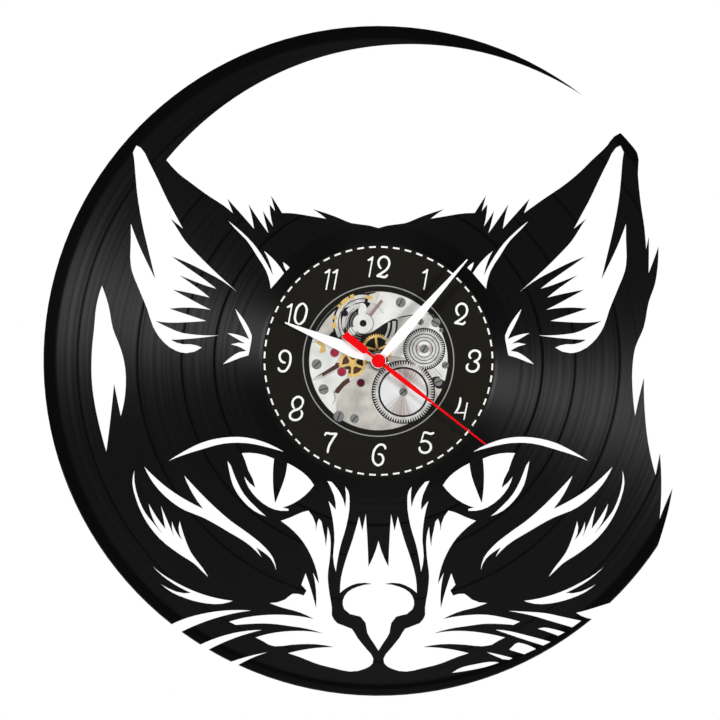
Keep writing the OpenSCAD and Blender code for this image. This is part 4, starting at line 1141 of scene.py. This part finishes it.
    def screws(self) -> None:
        """Build the slotted screws and the stones."""
        heads = LowRelief("picture_screws")
        slots = LowRelief("picture_screw_slots")
        spots = (
            (-27.8, -1.5, 2.0, 40), (-24.7, -12.8, 2.0, 15), (-17.8, -24.9, 2.4, 70),
            (-10.8, -26, 1.8, 50), (10, 26.3, 2.0, 60), (25.8, 17.2, 2.1, 150),
            (18.9, 17.6, 1.5, 80), (30.0, -1.9, 1.6, 30), (26.9, -9.4, 1.9, 20),
            (11.2, -14.0, 2.0, 45), (20.6, 5.4, 2.1, 60), (28.3, 13.8, 1.0, 10),
        )
        for x, z, radius, turn in spots:
            heads.slab(circle_points((x, z), radius, 36), *self.levels(3, 4.6), 0.12)
            reach = radius * 0.93
            dx, dz = reach * math.cos(math.radians(turn)), reach * math.sin(math.radians(turn))
            slots.slab(
                bar((x - dx, z - dz), (x + dx, z + dz), 0.42), *self.levels(4.5, 4.75), 0.01
            )
        self.printed(heads, Finishes.GREY_STEEL)
        slots.slab(circle_points(self.balance, 1.55, 32), *self.levels(3.6, 3.9), 0.02)
        slots.slab(circle_points((-15.2, 21.5), 1.5, 32), *self.levels(3, 3.4), 0.02)
        self.printed(slots, Finishes.DARK)
        stones = LowRelief("picture_rubies")
        stones.dome((-19.7, 3.7), 1.85, self.level(2.3), 0.14)
        stones.dome((-16.5, -4.9), 1.85, self.level(2.3), 0.14)
        self.printed(stones, Finishes.RUBY)
        garnet = LowRelief("picture_garnet")
        garnet.dome((-7.9, -9.9), 1.7, self.level(2.3), 0.1)
        self.printed(garnet, Finishes.GARNET)

    def build(self) -> None:
        """Build every printed layer from the dial's face forwards."""
        low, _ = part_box("dial_label")
        self.base = low.y / MM
        self.ground()
        self.shadows()
        self.plates()
        self.balance_depths()
        self.seams()
        self.train()
        self.wheels()
        self.screws()
        LOG.info("picture built")


@dataclass
class Hands:
    """The three hands with the washer and nut beneath them.

    Attributes:
        paints: The materials.
        edge: Width of their softened edges.
    """

    paints: Paintbox
    edge: float = 0.00007

    def build(self) -> None:
        """Stand eased copies in for the hands, the nut and the washer."""
        for node, body, finish, slot in (
            ("hour_hand", "hours", Finishes.WHITE_PAINT, "white_hand"),
            ("minute_hand", "minutes", Finishes.WHITE_PAINT, "white_hand"),
            ("second_hand", "seconds", Finishes.RED_PAINT, "red_hand"),
            ("mounting_nut", CLOCK, Finishes.NICKEL, "nickel"),
            ("flat_washer", CLOCK, Finishes.NICKEL, "nickel"),
        ):
            eased_copy(node, body, self.edge, self.paints.plain(finish))
        LOG.info("hands built")


@dataclass
class Movement:
    """The battery movement behind the record.

    Attributes:
        paints: The materials.
        turns: Turns of wire shown on the coil.
        points_per_turn: Points along the coil for each turn.
        wire: How far a turn stands above the dip beside it.
        coil_inset: How far the coil stays inside the solid that it replaces.
        button_height: Height of the cell's button.
    """

    paints: Paintbox
    turns: int = 56
    points_per_turn: int = 6
    wire: float = 0.00008
    coil_inset: float = 0.00001
    button_height: float = 0.0012

    def case(self) -> None:
        """Ease the moulded case, its cover, the knob and the hanger."""
        for node, body, width, finish, slot in (
            ("front_case", CLOCK, 0.00025, Finishes.CASE, "case_plastic"),
            ("back_cover", CLOCK, 0.0002, Finishes.CASE, "case_plastic"),
            ("setting_knob", "motion", 0.00012, Finishes.KNOB, "knob_plastic"),
            ("hanger_plate", CLOCK, 0.00012, Finishes.HANGER, "hanger_steel"),
        ):
            eased_copy(node, body, width, self.paints.plain(finish))
        dress("rubber_gasket", self.paints.plain(Finishes.GASKET))

    def wound_coil(self) -> None:
        """Build the coil: its radius swells and dips once for each turn of wire."""
        low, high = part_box("coil_winding")
        radius = (high.z - low.z) / 2 - self.coil_inset
        count = self.turns * self.points_per_turn
        share = np.linspace(0.0, 1.0, count)
        swell = self.wire * np.abs(np.sin(np.pi * self.turns * share))
        profile = np.stack([share * (high.x - low.x), radius - self.wire + swell], axis=1)
        start = (low.x, (low.y + high.y) / 2, (low.z + high.z) / 2)
        coil = turned(
            "coil_turns", profile, start, self.paints.plain(Finishes.COPPER), CLOCK
        )
        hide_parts("coil_winding")

    def cell(self) -> None:
        """Build the round cell: crimped jacket, coloured band, and a steel end with its button."""
        low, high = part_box("battery_cell")
        radius = (high.z - low.z) / 2
        start = (low.x, (low.y + high.y) / 2, (low.z + high.z) / 2)
        length = high.x - low.x
        body = length - self.button_height
        jacket = np.array([
            [0.0, radius * 0.8], [0.0002, radius * 0.97], [0.0008, radius], [body * 0.7, radius],
        ])
        piece = turned(
            "cell_jacket_long", jacket, start, self.paints.plain(Finishes.JACKET),
            "battery",
        )
        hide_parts("battery_cell")
        band = np.array([
            [body * 0.7, radius], [body - 0.0009, radius], [body - 0.0003, radius * 0.97],
            [body, radius * 0.84],
        ])
        turned(
            "cell_jacket_band", band, start, self.paints.plain(Finishes.JACKET_BAND),
            "battery",
        )
        button = np.array([
            [body - 0.0002, radius * 0.83], [body + 0.00005, radius * 0.8],
            [body + 0.0001, 0.0031], [length - 0.0003, 0.00275], [length, 0.0023],
        ])
        turned(
            "cell_button", button, start, self.paints.plain(Finishes.CELL_END),
            "battery",
        )

    def works(self) -> None:
        """Dress the wheels, the magnetic circuit, the board and the contacts."""
        finishes = {
            Finishes.GEAR: (
                "cannon_pinion", "centre_wheel", "hour_wheel", "motion_wheel", "third_wheel",
                "seconds_wheel", "intermediate_wheel", "rotor_pinion",
            ),
            Finishes.MAGNET: ("rotor_magnet",),
            Finishes.IRON: ("stator", "coil_core"),
            Finishes.BOBBIN: ("coil_bobbin",),
            Finishes.BOARD: ("circuit_board",),
            Finishes.CAN: ("quartz_crystal",),
            Finishes.EPOXY: ("ic_blob",),
            Finishes.SPRING: ("battery_contact_plus", "battery_contact_minus"),
        }
        for finish, nodes in finishes.items():
            for node in nodes:
                dress(node, self.paints.plain(finish))

    def build(self) -> None:
        """Build the case, the coil, the cell and the works."""
        self.case()
        self.wound_coil()
        self.cell()
        self.works()
        LOG.info("movement built")


# --------------------------------------------------------------------- studio


@dataclass
class Studio:
    """Camera, floor and soft light.

    Attributes:
        target: The point that the camera looks at.
        distance: How far the camera stands in front of it.
        field_width: Width of what the camera sees there.
        sensor: Width of the camera's sensor, mm.
        floor_height: Height of the floor.
    """

    target: tuple[float, float, float] = (-0.0083, -0.02, 0.0004)
    distance: float = 2.0
    field_width: float = 0.324
    sensor: float = 36.0
    floor_height: float = -0.2

    def camera(self) -> None:
        """Set a long lens square to the clock."""
        data = bpy.data.cameras.new("front_camera")
        data.sensor_width = self.sensor
        data.lens = self.sensor * self.distance / self.field_width
        data.clip_end = 20.0
        camera = bpy.data.objects.new("front_camera", data)
        x, y, z = self.target
        camera.location = (x, y - self.distance, z)
        camera.rotation_euler = (math.pi / 2, 0.0, 0.0)
        bpy.context.scene.collection.objects.link(camera)
        bpy.context.scene.camera = camera

    def floor(self) -> None:
        """Lay a small pale floor below the clock."""
        mesh = bpy.data.meshes.new("floor")
        z = self.floor_height
        mesh.from_pydata(
            [(-0.6, -0.6, z), (0.6, -0.6, z), (0.6, 0.3, z), (-0.6, 0.3, z)], [], [[0, 1, 2, 3]]
        )
        material = bpy.data.materials.new("pale_floor")
        material.use_nodes = True
        shader = material.node_tree.nodes["Principled BSDF"]
        shader.inputs["Base Color"].default_value = tone(0.85, 0.85, 0.85)
        shader.inputs["Roughness"].default_value = 0.8
        mesh.materials.append(material)
        plane = bpy.data.objects.new("floor", mesh)
        bpy.context.scene.collection.objects.link(plane)

    def lamp(
        self,
        name: str,
        place: tuple[float, float, float],
        width: float,
        height: float,
        watts: float,
    ) -> None:
        """Hang a soft rectangular lamp that faces the clock.

        Args:
            name: The lamp's name.
            place: Where it hangs.
            width: Its width.
            height: Its height.
            watts: Its power.
        """
        data = bpy.data.lights.new(name, "AREA")
        data.shape = "RECTANGLE"
        data.size = width
        data.size_y = height
        data.energy = watts
        lamp = bpy.data.objects.new(name, data)
        lamp.location = place
        aim = Vector((0.0, 0.0, 0.0)) - Vector(place)
        lamp.rotation_euler = aim.to_track_quat("-Z", "Y").to_euler()
        bpy.context.scene.collection.objects.link(lamp)

    def air(self) -> None:
        """Set a white surround that lights the clock less than it shows."""
        scene = bpy.context.scene
        world = bpy.data.worlds.new("white_surround")
        scene.world = world
        world.use_nodes = True
        world.node_tree.nodes.clear()
        graph = Graph(world.node_tree)
        shown = graph.add("ShaderNodeBackground", {"Color": tone(1.0, 1.0, 1.0), "Strength": 1.0})
        lit = graph.add("ShaderNodeBackground", {"Color": tone(0.95, 0.97, 1.0), "Strength": 0.11})
        ray = graph.add("ShaderNodeLightPath")
        mix = graph.add(
            "ShaderNodeMixShader",
            {"Fac": ray.outputs["Is Camera Ray"], 1: lit.outputs[0], 2: shown.outputs[0]},
        )
        graph.add("ShaderNodeOutputWorld", {"Surface": mix.outputs[0]})
        scene.view_settings.view_transform = "Standard"

    def build(self) -> None:
        """Set up the whole studio."""
        self.camera()
        self.floor()
        self.air()
        self.lamp("key_left", (-1.6, -1.6, 0.32), 0.5, 0.5, 32.0)
        self.lamp("fill_right", (1.6, -1.6, -0.32), 0.5, 0.5, 33.0)
        self.lamp("top_soft", (0.0, -0.9, 2.0), 1.2, 0.8, 13.0)
        self.lamp("rear_soft", (0.6, 1.8, 0.8), 1.2, 1.2, 30.0)
        LOG.info("studio built")


def main() -> None:
    """Build every sub-assembly in order."""
    logging.basicConfig(level=logging.INFO, format="%(name)s: %(message)s")
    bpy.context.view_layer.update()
    paints = Paintbox()
    RecordBody(paints).build()
    Dial(paints).build()
    MovementPicture(paints).build()
    Hands(paints).build()
    Movement(paints).build()
    Studio().build()


if __name__ == "__main__":
    main()
